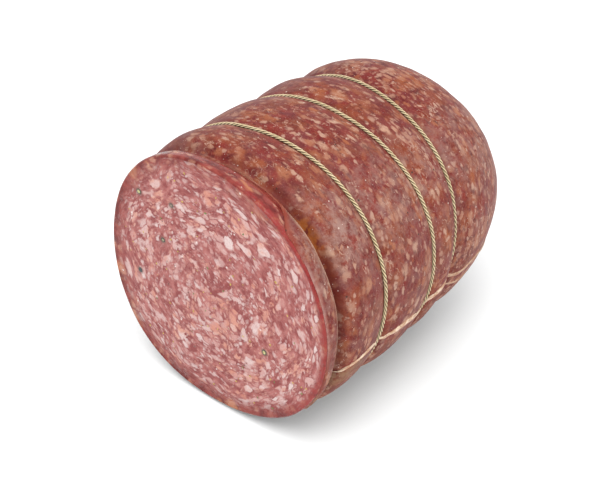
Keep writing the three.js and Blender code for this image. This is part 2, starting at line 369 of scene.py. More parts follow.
def times(tree, a, b):
    """Two numbers multiplied."""
    return calc(tree, "MULTIPLY", a, b)


def move(tree, operation, a, b):
    """One step of vector arithmetic."""
    return add(tree, "ShaderNodeVectorMath", {0: a, 1: b}, operation=operation).outputs[0]


def measure(tree, operation, a, b=(0.0, 0.0, 0.0)):
    """A length or a distance."""
    return add(tree, "ShaderNodeVectorMath", {0: a, 1: b}, operation=operation).outputs["Value"]


def grow(tree, vector, factor):
    """A vector times a factor."""
    return add(tree, "ShaderNodeVectorMath", {0: vector, "Scale": factor}, operation="SCALE").outputs[0]


def fade(tree, value, low, high, to_low=0.0, to_high=1.0):
    """A value eased from to_low to to_high as the given one goes from low to high."""
    values = {"Value": value, "From Min": low, "From Max": high, "To Min": to_low, "To Max": to_high}
    return add(tree, "ShaderNodeMapRange", values, interpolation_type="SMOOTHSTEP").outputs["Result"]


def blend(tree, share, a, b):
    """Colour a where share is 0 and colour b where it is 1."""
    return add(tree, "ShaderNodeMix", {0: share, 6: a, 7: b}, data_type="RGBA").outputs[2]


def cloud(tree, vector, size, detail=2.0, roughness=0.5):
    """Noise from 0 to 1 in lumps of about the given size."""
    values = {"Vector": vector, "Scale": 1 / size, "Detail": detail, "Roughness": roughness}
    return add(tree, "ShaderNodeTexNoise", values).outputs[0]


def stored(tree, name):
    """A number kept on the piece's points."""
    return add(tree, "ShaderNodeAttribute", attribute_name=name).outputs["Fac"]


def tint(red, green, blue):
    """A colour, in linear light."""
    return (red, green, blue, 1.0)


def new_group(name, inputs, outputs):
    """A shader node group with named sockets, what it is given, and the sockets to put its results in."""
    group = bpy.data.node_groups.new(name, "ShaderNodeTree")
    for label, kind, value in inputs:
        socket = group.interface.new_socket(label, in_out="INPUT", socket_type="NodeSocket" + kind)
        if value is not None:
            socket.default_value = value
    for label, kind in outputs:
        group.interface.new_socket(label, in_out="OUTPUT", socket_type="NodeSocket" + kind)
    return group, group.nodes.new("NodeGroupInput").outputs, group.nodes.new("NodeGroupOutput").inputs


def use(tree, group, values):
    """A node group with its inputs set, and its outputs."""
    return add(tree, "ShaderNodeGroup", values, node_tree=group).outputs


def make_pieces_group():
    """Rounded, rough-edged pieces scattered through a space.

    Share is how many cells hold one, and Softness is how wide its edge is. Mask is up to 1 inside the
    pieces, and Tone differs piece by piece."""
    inputs = (("Vector", "Vector", None), ("Size", "Float", 0.004), ("Share", "Float", 0.4),
              ("Waviness", "Float", 0.5), ("Softness", "Float", 0.1))
    group, given, made = new_group("pieces", inputs, (("Mask", "Float"), ("Tone", "Float")))
    count = calc(group, "DIVIDE", 1.0, given["Size"])
    wander = add(group, "ShaderNodeTexNoise", {"Vector": given["Vector"], "Scale": count, "Detail": 4.0,
                                               "Roughness": 0.6})
    shift = move(group, "SUBTRACT", wander.outputs["Color"], (0.5, 0.5, 0.5))
    shift = grow(group, shift, given["Waviness"])
    place = move(group, "ADD", grow(group, given["Vector"], count), shift)
    cell = add(group, "ShaderNodeTexVoronoi", {"Vector": place, "Scale": 1.0}, feature="F1")
    border = add(group, "ShaderNodeTexVoronoi", {"Vector": place, "Scale": 1.0}, feature="DISTANCE_TO_EDGE")
    chance = add(group, "ShaderNodeSeparateColor", {0: cell.outputs["Color"]}).outputs
    present = calc(group, "LESS_THAN", chance[0], given["Share"])
    reach = calc(group, "MULTIPLY_ADD", chance[1], 0.26, 0.40)
    soft = given["Softness"]
    past = calc(group, "SUBTRACT", cell.outputs["Distance"], reach)
    rounded = fade(group, past, times(group, soft, -1.0), soft, 1.0, 0.0)
    inside = fade(group, border.outputs["Distance"], 0.0, calc(group, "MULTIPLY_ADD", soft, 0.7, 0.03))
    strong = calc(group, "MULTIPLY_ADD", chance[1], 0.45, 0.55)
    shape = times(group, times(group, rounded, inside), strong)
    group.links.new(times(group, shape, present), made["Mask"])
    group.links.new(chance[2], made["Tone"])
    return group


def make_specks_group():
    """Small round specks. Spacing is between cells, Share is how many hold one, and Size is its reach."""
    inputs = (("Vector", "Vector", None), ("Spacing", "Float", 0.004), ("Size", "Float", 0.1),
              ("Share", "Float", 0.3))
    group, given, made = new_group("specks", inputs, (("Mask", "Float"),))
    count = calc(group, "DIVIDE", 1.0, given["Spacing"])
    cell = add(group, "ShaderNodeTexVoronoi", {"Vector": given["Vector"], "Scale": count})
    chance = add(group, "ShaderNodeSeparateColor", {0: cell.outputs["Color"]}).outputs
    present = calc(group, "LESS_THAN", chance[0], given["Share"])
    reach = times(group, given["Size"], calc(group, "ADD", chance[1], 0.35))
    inside = fade(group, cell.outputs["Distance"], times(group, reach, 0.55), reach, 1.0, 0.0)
    group.links.new(times(group, inside, present), made["Mask"])
    return group


def make_round_flow_group():
    """Coordinates in which even pieces come out round in the middle and drawn out round the rim."""
    inputs = (("Vector", "Vector", None), ("Radius", "Float", 0.085), ("Stretch", "Float", 0.5),
              ("Swirl", "Float", 0.012))
    group, given, made = new_group("round_flow", inputs, (("Vector", "Vector"),))
    drift = add(group, "ShaderNodeTexNoise", {"Vector": given["Vector"], "Scale": 30.0, "Detail": 1.0})
    shift = grow(group, move(group, "SUBTRACT", drift.outputs["Color"], (0.5, 0.5, 0.5)), given["Swirl"])
    place = add(group, "ShaderNodeSeparateXYZ", {0: move(group, "ADD", given["Vector"], shift)}).outputs
    away = add(group, "ShaderNodeCombineXYZ", {0: place[0], 2: place[2]}).outputs[0]
    radius = measure(group, "LENGTH", away)
    share = calc(group, "DIVIDE", radius, given["Radius"])
    stretch = calc(group, "MULTIPLY_ADD", times(group, share, share), given["Stretch"], 1.0)
    drawn = grow(group, away, calc(group, "DIVIDE", 1.0, stretch))
    depth = calc(group, "MULTIPLY_ADD", times(group, radius, share), 0.9, place[1])
    third = add(group, "ShaderNodeCombineXYZ", {1: depth}).outputs[0]
    group.links.new(move(group, "ADD", drawn, third), made["Vector"])
    return group


PIECES = make_pieces_group()
SPECKS = make_specks_group()
ROUND_FLOW = make_round_flow_group()


def new_material(name, **constants):
    """A material with a Principled shader, and the shader's inputs that stay the same all over."""
    material = bpy.data.materials.new(name)
    material.use_nodes = True
    tree = material.node_tree
    shader = tree.nodes["Principled BSDF"]
    for label, value in constants.items():
        shader.inputs[label.replace("_", " ")].default_value = value
    return material, tree, shader


def set_bump(tree, shader, height, distance):
    """Raises the surface's look by height times distance."""
    bump = add(tree, "ShaderNodeBump", {"Height": height, "Distance": distance, "Strength": 1.0})
    tree.links.new(bump.outputs[0], shader.inputs["Normal"])


NEUTRAL_BOUNCE = tint(0.160, 0.150, 0.145)


def set_colour(tree, shader, colour):
    """Gives a shader its colour. The light it bounces on to its surroundings is kept neutral."""
    bounced = add(tree, "ShaderNodeLightPath").outputs["Is Diffuse Ray"]
    tree.links.new(blend(tree, bounced, colour, NEUTRAL_BOUNCE), shader.inputs["Base Color"])


def object_place(tree):
    """Object coordinates, measured from the sausage's axis at the cut face."""
    coordinates = add(tree, "ShaderNodeTexCoord").outputs["Object"]
    return move(tree, "SUBTRACT", coordinates, (0.0, CUT_FACE_Y, AXIS_HEIGHT))


def scatter(tree, vector, size, share, softness, waviness=1.0):
    """Pieces of one size. Share is the part of the space's cells that hold one."""
    values = {"Vector": vector, "Size": size, "Share": share, "Waviness": waviness, "Softness": softness}
    return use(tree, PIECES, values)


def fat_and_lean(tree, place, flow):
    """Lean meat with pieces of fat in it: its colour, and how much of it is fat."""
    rich = fade(tree, cloud(tree, flow, 17 * MM, 3.0, 0.6), 0.40, 0.60)
    lean_tone = fade(tree, cloud(tree, flow, 5 * MM, 5.0, 0.64), 0.34, 0.66)
    colour = blend(tree, lean_tone, tint(0.205, 0.038, 0.037), tint(0.385, 0.135, 0.121))
    deep = scatter(tree, move(tree, "ADD", flow, (0.3, 0.1, 0.2)), 6.5 * MM, 0.55, 0.22)
    colour = blend(tree, times(tree, deep["Mask"], 0.85), colour, tint(0.205, 0.036, 0.036))

    # Fat, from small crumbs to large pieces, and the thin pale membranes between them.
    layers = (
        # size, share, waviness, softness, strength
        (1.8 * MM, 0.32, 0.8, 0.30, 0.70),
        (3.2 * MM, 0.46, 0.9, 0.24, 0.95),
        (4.9 * MM, 0.46, 1.0, 0.18, 1.1),
        (7.4 * MM, 0.20, 1.0, 0.13, 1.15),
    )
    warm = fade(tree, cloud(tree, move(tree, "ADD", flow, (0.1, 0.4, 0.7)), 11 * MM, 3.0), 0.48, 0.64)
    off_axis = measure(tree, "LENGTH", move(tree, "MULTIPLY", place, (1.0, 0.0, 1.0)))
    lean_rim = fade(tree, off_axis, 25 * MM, 82 * MM, 1.0, 0.74)
    fat = None
    for size, share, waviness, softness, strength in layers:
        here = calc(tree, "MULTIPLY_ADD", rich, share * 1.15, share * 0.50)
        here = times(tree, here, lean_rim)
        made = scatter(tree, flow, size, here, softness, waviness)
        mask = calc(tree, "MINIMUM", times(tree, made["Mask"], strength), 1.0)
        shade = blend(tree, made["Tone"], tint(0.47, 0.225, 0.20), tint(0.61, 0.48, 0.46))
        shade = blend(tree, times(tree, warm, 0.7), shade, tint(0.53, 0.20, 0.125))
        colour = blend(tree, mask, colour, shade)
        fat = mask if fat is None else calc(tree, "MAXIMUM", fat, mask)
    ridge = calc(tree, "ABSOLUTE", calc(tree, "SUBTRACT", cloud(tree, flow, 8 * MM, 4.0, 0.6), 0.5))
    strands = times(tree, fade(tree, ridge, 0.0, 0.035, 1.0, 0.0), 0.18)
    colour = blend(tree, strands, colour, tint(0.56, 0.345, 0.32))
    return colour, fat


def bare_meat(tree, place):
    """The colour of meat that no casing covers: a deeper red, with more orange fat."""
    stretched = move(tree, "MULTIPLY", place, (0.5, 1.0, 0.5))
    red = fade(tree, cloud(tree, stretched, 5 * MM, 5.0, 0.62), 0.36, 0.64)
    red = blend(tree, red, tint(0.115, 0.009, 0.008), tint(0.245, 0.043, 0.033))
    orange_fat = (
        # size, share, strength, colour
        (6 * MM, 0.37, 0.85, tint(0.43, 0.16, 0.075)),
        (3 * MM, 0.38, 0.7, tint(0.48, 0.24, 0.16)),
    )
    for size, share, strength, shade in orange_fat:
        made = scatter(tree, stretched, size, share, 0.30)
        red = blend(tree, times(tree, made["Mask"], strength), red, shade)
    return red


def make_meat_material():
    """Coarse fat and lean, pressed round the rim, moist and redder where no casing covers it."""
    material, tree, shader = new_material("cured_meat", Subsurface_Weight=0.05, Subsurface_Scale=0.001,
                                          Specular_IOR_Level=0.2)
    shader.inputs["Subsurface Radius"].default_value = (1.0, 0.4, 0.3)
    place = object_place(tree)
    flow = use(tree, ROUND_FLOW, {"Vector": place})["Vector"]
    colour, fat = fat_and_lean(tree, place, flow)
    grain = cloud(tree, flow, 1.0 * MM, 3.0, 0.6)
    colour = blend(tree, fade(tree, grain, 0.30, 0.55, 0.30, 0.0), colour, tint(0.26, 0.060, 0.055))

    # The bare side, the moist rim and the stains round the peppercorns.
    side = stored(tree, "side")
    colour = blend(tree, side, colour, bare_meat(tree, place))
    moist = stored(tree, "moist")
    broken = fade(tree, cloud(tree, place, 3 * MM, 4.0, 0.65), 0.38, 0.60, 0.35, 0.95)
    colour = blend(tree, times(tree, moist, broken), colour, tint(0.255, 0.028, 0.026))
    colour = blend(tree, stored(tree, "stain"), colour, tint(0.17, 0.095, 0.075))

    # White flecks of fat, painted bright enough to stand in for small glints as well.
    whites = use(tree, SPECKS, {"Vector": place, "Spacing": 6 * MM, "Size": 0.11, "Share": 0.5})["Mask"]
    colour = blend(tree, times(tree, whites, 0.8), colour, tint(0.70, 0.60, 0.57))
    set_colour(tree, shader, colour)

    # Moister in patches, and most of all where it is bare.
    wet = fade(tree, cloud(tree, place, 7 * MM, 4.0), 0.38, 0.64)
    rough = calc(tree, "MULTIPLY_ADD", wet, -0.18, 0.50)
    rough = calc(tree, "MULTIPLY_ADD", side, -0.12, rough)
    tree.links.new(calc(tree, "MULTIPLY_ADD", moist, -0.14, rough), shader.inputs["Roughness"])
    height = calc(tree, "MULTIPLY_ADD", fat, 0.6, times(tree, grain, 0.6))
    set_bump(tree, shader, height, 0.25 * MM)
    return material


def meat_under_skin(tree, place, across):
    """The reds of the casing, and the lean and fat that show through it."""
    base = fade(tree, cloud(tree, across, 7 * MM, 8.0, 0.70), 0.36, 0.64)
    colour = blend(tree, base, tint(0.098, 0.008, 0.007), tint(0.205, 0.029, 0.021))
    zones = (
        # shift of the pattern, size, strength, colour: two deep reds, an orange and a greyer red
        ((0.7, 0.2, 0.4), 22 * MM, 0.70, tint(0.165, 0.012, 0.010)),
        ((0.2, 0.6, 0.9), 10 * MM, 0.60, tint(0.120, 0.016, 0.017)),
        ((0.3, 0.9, 0.1), 17 * MM, 0.45, tint(0.239, 0.066, 0.023)),
        ((0.5, 0.4, 0.8), 15 * MM, 0.40, tint(0.150, 0.037, 0.043)),
    )
    for shift, size, strength, shade in zones:
        zone = fade(tree, cloud(tree, move(tree, "ADD", place, shift), size, 4.0, 0.6), 0.46, 0.64)
        colour = blend(tree, times(tree, zone, strength), colour, shade)

    # Lean and fat close under the skin: blurred blotches from orange to beige, and paler crumbs.
    rich = cloud(tree, move(tree, "ADD", across, (0.2, 0.5, 0.1)), 18 * MM, 3.0)
    layers = (
        # size, share, softness, strength, colours
        (9.5 * MM, 0.34, 0.45, 0.85, tint(0.280, 0.068, 0.018), tint(0.305, 0.110, 0.055)),
        (5.6 * MM, 0.22, 0.34, 1.0, tint(0.305, 0.085, 0.028), tint(0.470, 0.285, 0.200)),
        (3.4 * MM, 0.21, 0.24, 0.95, tint(0.290, 0.085, 0.036), tint(0.455, 0.285, 0.210)),
        (2.0 * MM, 0.22, 0.24, 0.90, tint(0.265, 0.070, 0.035), tint(0.435, 0.270, 0.205)),
    )
    for size, share, softness, strength, low, high in layers:
        here = calc(tree, "MULTIPLY_ADD", rich, share * 4.0, share * -1.0)
        here = calc(tree, "MULTIPLY_ADD", stored(tree, "end"), share * 0.6, here)
        made = scatter(tree, across, size, here, softness)
        shade = blend(tree, made["Tone"], low, high)
        colour = blend(tree, times(tree, made["Mask"], strength), colour, shade)
    return colour


def skin_texture(tree, place, across, colour):
    """The streaks, gaps, threads and grit of the skin, over its colour."""
    # Pale streaks and dark gaps between them, the gaps darker on the rounded end.
    streaks = fade(tree, cloud(tree, across, 2.2 * MM, 5.0, 0.72), 0.50, 0.72)
    colour = blend(tree, times(tree, streaks, 0.35), colour, tint(0.325, 0.131, 0.075))
    gaps = cloud(tree, move(tree, "ADD", across, (0.9, 0.3, 0.6)), 3.4 * MM, 5.0, 0.68)
    gaps = fade(tree, gaps, 0.52, 0.68)
    deeper = calc(tree, "MULTIPLY_ADD", stored(tree, "end"), 0.22, 0.72)
    colour = blend(tree, times(tree, gaps, deeper), colour, tint(0.080, 0.012, 0.013))

    # Thin, dry, pale threads here and there.
    thread = calc(tree, "ABSOLUTE", calc(tree, "SUBTRACT", cloud(tree, across, 10 * MM, 3.0, 0.6), 0.5))
    some = fade(tree, cloud(tree, move(tree, "ADD", place, (0.1, 0.8, 0.5)), 12 * MM, 2.0), 0.54, 0.62)
    threads = times(tree, fade(tree, thread, 0.003, 0.011, 1.0, 0.0), some)
    colour = blend(tree, times(tree, threads, 0.65), colour, tint(0.47, 0.30, 0.225))

    # Fine grit, light and dark.
    grit = cloud(tree, place, 0.9 * MM, 2.0, 0.6)
    colour = blend(tree, fade(tree, grit, 0.55, 0.75, 0.0, 0.32), colour, tint(0.38, 0.205, 0.145))
    colour = blend(tree, fade(tree, grit, 0.25, 0.44, 0.45, 0.0), colour, tint(0.085, 0.012, 0.012))
    return colour


def skin_wear_and_painted_light(tree, place, colour):
    """The bloom with painted sheen, the crease and tucks with painted shade, and worn edges, over its colour.
    """
    # Bloom and painted sheen, most on the right shoulder, and a top greyed by sheen and darkened by painted
    # shade.
    bloom_and_sheen_patches = fade(tree, cloud(tree, place, 9 * MM, 8.0, 0.78), 0.38, 0.66)
    colour = blend(tree, times(tree, bloom_and_sheen_patches, stored(tree, "bloom_and_sheen")), colour, tint(0.305, 0.180, 0.150))
    colour = blend(tree, stored(tree, "dry_and_painted_top_shade"), colour, tint(0.100, 0.034, 0.038))

    # The crease behind the lip gets painted shade in dark red, with amber where fat has run into it.
    pocket = fade(tree, cloud(tree, place, 5 * MM, 3.0), 0.40, 0.56)
    pocket = times(tree, stored(tree, "amber"), pocket)
    amber = blend(tree, pocket, tint(0.110, 0.015, 0.011), tint(0.270, 0.073, 0.013))
    uneven = fade(tree, cloud(tree, place, 4 * MM, 3.0), 0.34, 0.56, 0.6, 1.0)
    colour = blend(tree, times(tree, stored(tree, "crease_shade_and_amber"), uneven), colour, amber)

    # The lip is worn pale, and towards its cut edge the casing thins, ends in a pale line of painted
    # highlight and dries out.
    worn = fade(tree, cloud(tree, place, 3 * MM, 4.0, 0.65), 0.36, 0.58, 0.45, 0.95)
    colour = blend(tree, times(tree, stored(tree, "lip"), worn), colour, tint(0.52, 0.33, 0.235))
    colour = blend(tree, stored(tree, "thin"), colour, tint(0.231, 0.043, 0.026))
    colour = blend(tree, times(tree, stored(tree, "painted_edge_glint"), worn), colour, tint(0.70, 0.56, 0.50))
    patchy = fade(tree, cloud(tree, place, 4 * MM, 5.0, 0.65), 0.36, 0.60, 0.15, 0.85)
    colour = blend(tree, times(tree, stored(tree, "flap"), patchy), colour, tint(0.250, 0.135, 0.075))

    # Painted shade under the hoops and down between the pleats, and the tan round the tie.
    tan_and_painted_shade = (
        ("painted_hoop_shade", 0.6, tint(0.103, 0.041, 0.025)),
        ("gathered", 0.75, tint(0.342, 0.205, 0.125)),
        ("painted_pleat_shade", 0.7, tint(0.115, 0.035, 0.022)),
    )
    for name, strength, shade in tan_and_painted_shade:
        colour = blend(tree, times(tree, stored(tree, name), strength), colour, shade)
    return colour


def skin_dust_and_painted_glints(tree, place, colour):
    """White dust, which also stands in for painted glints, and dark specks, over the skin's colour."""
    dust_and_glint_patches = cloud(tree, move(tree, "ADD", place, (0.4, 0.6, 0.2)), 20 * MM, 3.0)
    dust_and_glint_patches = fade(tree, dust_and_glint_patches, 0.42, 0.60, 0.15, 0.75)
    shifted = move(tree, "ADD", place, (0.5, 0.2, 0.9))
    # The two pale kinds are white dust and painted glints together.
    specks = (
        # place, spacing, size, share, strength, colour
        (place, 1.7 * MM, 0.15, dust_and_glint_patches, 0.7, tint(0.58, 0.44, 0.38)),
        (place, 5.5 * MM, 0.10, 0.55, 0.9, tint(0.58, 0.44, 0.38)),
        (shifted, 7 * MM, 0.11, 0.4, 0.8, tint(0.030, 0.029, 0.023)),
    )
    for where, spacing, size, share, strength, shade in specks:
        values = {"Vector": where, "Spacing": spacing, "Size": size, "Share": share}
        mask = use(tree, SPECKS, values)["Mask"]
        colour = blend(tree, times(tree, mask, strength), colour, shade)
    return colour


def make_casing_material():
    """Natural casing: a thin, satin skin through which lean and fat show, with a grey bloom and painted sheen
    and shade in places.
    """
    material, tree, shader = new_material("natural_casing", Specular_IOR_Level=0.09)
    place = object_place(tree)
    across = move(tree, "MULTIPLY", place, (0.6, 1.0, 0.6))

    colour = meat_under_skin(tree, place, across)
    colour = skin_texture(tree, place, across, colour)
    colour = skin_wear_and_painted_light(tree, place, colour)
    colour = skin_dust_and_painted_glints(tree, place, colour)
    set_colour(tree, shader, colour)

    # A satin sheen over fine wrinkles.
    satin = cloud(tree, place, 5 * MM, 5.0, 0.65)
    tree.links.new(calc(tree, "MULTIPLY_ADD", satin, 0.30, 0.34), shader.inputs["Roughness"])
    fine = cloud(tree, across, 1.5 * MM, 3.0, 0.6)
    wide = cloud(tree, across, 4.5 * MM, 3.0)
    set_bump(tree, shader, calc(tree, "MULTIPLY_ADD", wide, 1.2, times(tree, fine, 0.5)), 0.4 * MM)
    return material


def make_seam_material():
    """The pale edge of the casing's outer layer, crisp and dry above and melting into the skin below."""
    material, tree, shader = new_material("casing_edge", Specular_IOR_Level=0.15)
    place = object_place(tree)
    streaked = move(tree, "MULTIPLY", place, (1.0, 0.35, 1.0))
    dry_and_painted_top_shade = cloud(tree, streaked, 2.5 * MM, 5.0, 0.68)
    colour = blend(tree, fade(tree, dry_and_painted_top_shade, 0.38, 0.62), tint(0.46, 0.25, 0.150), tint(0.76, 0.61, 0.46))
    chips = fade(tree, cloud(tree, place, 1.5 * MM, 4.0, 0.6), 0.34, 0.46, 0.7, 0.0)
    colour = blend(tree, chips, colour, tint(0.30, 0.125, 0.070))
    melting = fade(tree, calc(tree, "MULTIPLY_ADD", dry_and_painted_top_shade, 0.9, stored(tree, "inwards")), 1.0, 1.5)
    colour = blend(tree, melting, colour, tint(0.30, 0.095, 0.060))
    colour = blend(tree, times(tree, stored(tree, "faded"), 0.6), colour, tint(0.34, 0.165, 0.10))
    whites = use(tree, SPECKS, {"Vector": place, "Spacing": 1.5 * MM, "Size": 0.2, "Share": 0.4})["Mask"]
    colour = blend(tree, times(tree, whites, 0.7), colour, tint(0.78, 0.68, 0.56))
    tree.links.new(colour, shader.inputs["Base Color"])
    shader.inputs["Roughness"].default_value = 0.55
    set_bump(tree, shader, dry_and_painted_top_shade, 0.4 * MM)
    return material


def make_twine_material():
    """Pale, dusty flax twine with fibres along each ply, and painted shade in the crevices between the plies.
    """
    material, tree, shader = new_material("flax_twine", Roughness=0.85, Specular_IOR_Level=0.2,
                                          Sheen_Weight=0.15)
    run = times(tree, stored(tree, "run"), 260.0)
    turn = stored(tree, "turn")
    ply = times(tree, stored(tree, "ply"), 7.3)
    fibre_place = add(tree, "ShaderNodeCombineXYZ", {0: times(tree, turn, 14.0), 1: run, 2: ply})
    fibre = add(tree, "ShaderNodeTexNoise", {"Vector": fibre_place.outputs[0], "Scale": 1.0, "Detail": 3.0})
    patches = cloud(tree, object_place(tree), 12 * MM, 2.0)
    fibres = fade(tree, fibre.outputs[0], 0.3, 0.7)
    colour = blend(tree, fibres, tint(0.49, 0.365, 0.195), tint(0.80, 0.65, 0.42))
    colour = blend(tree, fade(tree, patches, 0.45, 0.75, 0.0, 0.5), colour, tint(0.50, 0.39, 0.20))
    # Painted shade: the plies are darkened where they lie close to the twine's middle line, in the crevices
    # between them.
    core = add(tree, "ShaderNodeAttribute", attribute_name="core").outputs["Vector"]
    place = add(tree, "ShaderNodeTexCoord").outputs["Object"]
    reach = measure(tree, "DISTANCE", place, core)
    painted_crevice_shade = fade(tree, reach, 0.66 * MM, 0.95 * MM, 0.95, 0.0)
    colour = blend(tree, painted_crevice_shade, colour, tint(0.095, 0.064, 0.026))
    tree.links.new(colour, shader.inputs["Base Color"])
    set_bump(tree, shader, fibre.outputs[0], 0.12 * MM)
    return material


def make_spice_material(name, dark, light, size):
    """A dry seed or husk, mottled between two colours."""
    material, tree, shader = new_material(name, Roughness=0.6)
    mottle = cloud(tree, object_place(tree), size, 3.0)
    tree.links.new(blend(tree, fade(tree, mottle, 0.35, 0.65), dark, light), shader.inputs["Base Color"])
    set_bump(tree, shader, mottle, 0.2 * MM)
    return material


def make_peppercorn_material(name, core_dark, core_light, husk_light, husk_start):
    """A cut peppercorn: a husk round a paler core. The husk starts at a share of the corn's radius."""
    material, tree, shader = new_material(name, Roughness=0.5)
    out = stored(tree, "out")
    mottle = cloud(tree, object_place(tree), 0.6 * MM, 4.0, 0.6)
    core = blend(tree, fade(tree, mottle, 0.35, 0.65), core_dark, core_light)
    husk = blend(tree, mottle, tint(0.016, 0.018, 0.016), husk_light)
    ragged = calc(tree, "MULTIPLY_ADD", mottle, 0.45, out)
    colour = blend(tree, fade(tree, ragged, husk_start, husk_start + 0.30), core, husk)
    colour = blend(tree, fade(tree, ragged, 0.20, 0.40, 0.45, 0.0), colour, core_dark)
    tree.links.new(colour, shader.inputs["Base Color"])
    set_bump(tree, shader, mottle, 0.25 * MM)
    return material


def make_floor_material():
    """A plain, matt, nearly white floor."""
    material, tree, shader = new_material("pale_floor", Roughness=0.75, Specular_IOR_Level=0.15)
    place = add(tree, "ShaderNodeTexCoord").outputs["Object"]
    tone = cloud(tree, place, 0.3, 2.0)
    colour = blend(tree, tone, tint(0.90, 0.90, 0.90), tint(0.93, 0.93, 0.93))
    tree.links.new(colour, shader.inputs["Base Color"])
    return material


MEAT = make_meat_material()
CASING = make_casing_material()
SEAM_EDGE = make_seam_material()
FLAX = make_twine_material()

# Peppercorns: the core's darker and paler colours, the husk's pale colour, and where the husk starts.
YELLOW_CORN = make_peppercorn_material(
    "yellow_peppercorn", tint(0.27, 0.235, 0.075), tint(0.60, 0.54, 0.26), tint(0.050, 0.050, 0.035), 0.70)
GREY_CORN = make_peppercorn_material(
    "grey_peppercorn", tint(0.13, 0.095, 0.065), tint(0.27, 0.20, 0.13), tint(0.16, 0.11, 0.09), 0.60)
BLACK_CORN = make_peppercorn_material(
    "black_peppercorn", tint(0.012, 0.020, 0.022), tint(0.05, 0.07, 0.075), tint(0.05, 0.055, 0.06), 0.50)
RINGED_CORN = make_peppercorn_material(
    "ringed_peppercorn", tint(0.16, 0.145, 0.075), tint(0.42, 0.39, 0.24), tint(0.03, 0.035, 0.03), 0.62)
CORN_FINISHES = (YELLOW_CORN, GREY_CORN, RINGED_CORN, BLACK_CORN, YELLOW_CORN)


def finish_piece(piece, slot, *nodes):
    """Puts a piece on the root body and hides the frame parts it stands for. Its slot is not used."""
    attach(piece, "root")
    if nodes:
        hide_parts(*nodes)


def corn_places():
    """Each peppercorn's middle across and up, and its radius, from its box in the frame."""
    places = []
    for number in range(1, 6):
        low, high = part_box(f"peppercorn_{number}")
        places.append(((low.x + high.x) / 2, (low.z + high.z) / 2, (high.z - low.z) / 2))
    return places


# The cut face and the rest of the filling, which lies deeper inside the casing by HIDDEN_INSET. The face's
# relief is (height, size, noise seed).
FACE_SIDES = 384
FACE_RINGS = 100
FACE_RELIEF = ((0.16 * MM, 13 * MM, 51), (0.09 * MM, 3.2 * MM, 52))
FACE_SET_BACK = 0.1 * MM
RIM_ROWS = 7
BARE_ROWS = 14
HIDDEN_ROWS = 70
BACK_ROWS = (208 * MM, 214 * MM, 217.5 * MM, 219 * MM)
HIDDEN_INSET = 2.6 * MM
STAIN = 0.75
STAIN_REACH = 0.9 * MM


def stains_at(points):
    """How far each point near the cut face is stained by a peppercorn's juice."""
    stain = np.zeros(len(points))
    near_face = points[:, 1] < CUT_FACE_Y + 2 * MM
    for x, z, radius in corn_places():
        off = np.maximum(0, np.hypot(points[:, 0] - x, points[:, 2] - z) - radius)
        stain += STAIN * bell(off, STAIN_REACH) * near_face
    return np.clip(stain, 0, STAIN)


def face_rings(rim, middle):
    """The flat cut face, as rings from the middle out to the rim, and each ring's share of the way."""
    shares = np.linspace(0, 1, FACE_RINGS + 1)[1:]
    face = middle + (rim - middle) * shares[:, None, None]
    face[:, :, 1] = CUT_FACE_Y
    flat = face.reshape(-1, 3)
    relief = sum(height * value_noise(flat, size, seed) for height, size, seed in FACE_RELIEF)
    face[:, :, 1] += relief.reshape(face.shape[:2]) + FACE_SET_BACK
    return face, shares


def side_rings(around, rim_round, proud):
    """The rounded rim, the side that is bare as far as the casing's edge, and the rest, inside the casing.

    Gives each ring's points and their distances along."""
    edge = casing_edge(around)
    bare_end = edge + 1 * MM
    turned = np.linspace(0, math.pi / 2, RIM_ROWS + 1)[1:]
    rim_rows = [rim_round * (1 - math.cos(turn)) for turn in turned]
    rim_insets = [FILLING_INSET - proud + rim_round * (1 - math.sin(turn)) for turn in turned]
    bare_rows = [rim_round + (bare_end - rim_round) * share for share in np.linspace(0, 1, BARE_ROWS + 1)[1:]]
    hidden = crowded_rows(0, 200 * MM, HIDDEN_ROWS, [(pinch.along, 6 * MM, 3.0) for pinch in PINCHES])[1:]
    inner_rows = [along + bare_end * max(0, 1 - along / (60 * MM)) for along in hidden]
    alongs, arounds = rows_of(rim_rows + bare_rows + inner_rows + list(BACK_ROWS), around)

    insets = FILLING_INSET - proud * (1 - smooth_step(alongs, edge - 5 * MM, edge - 0.5 * MM))
    insets[:RIM_ROWS] = rim_insets
    insets += HIDDEN_INSET * smooth_step(alongs, edge + 0.5 * MM, edge + 6 * MM)
    lift = surface_lift(alongs.ravel(), arounds.ravel()).reshape(alongs.shape)
    side = body_point(alongs, arounds, inset=insets, lift=lift)
    side[:, :, 1] = np.maximum(side[:, :, 1], CUT_FACE_Y + 0.02 * MM)
    return side, alongs


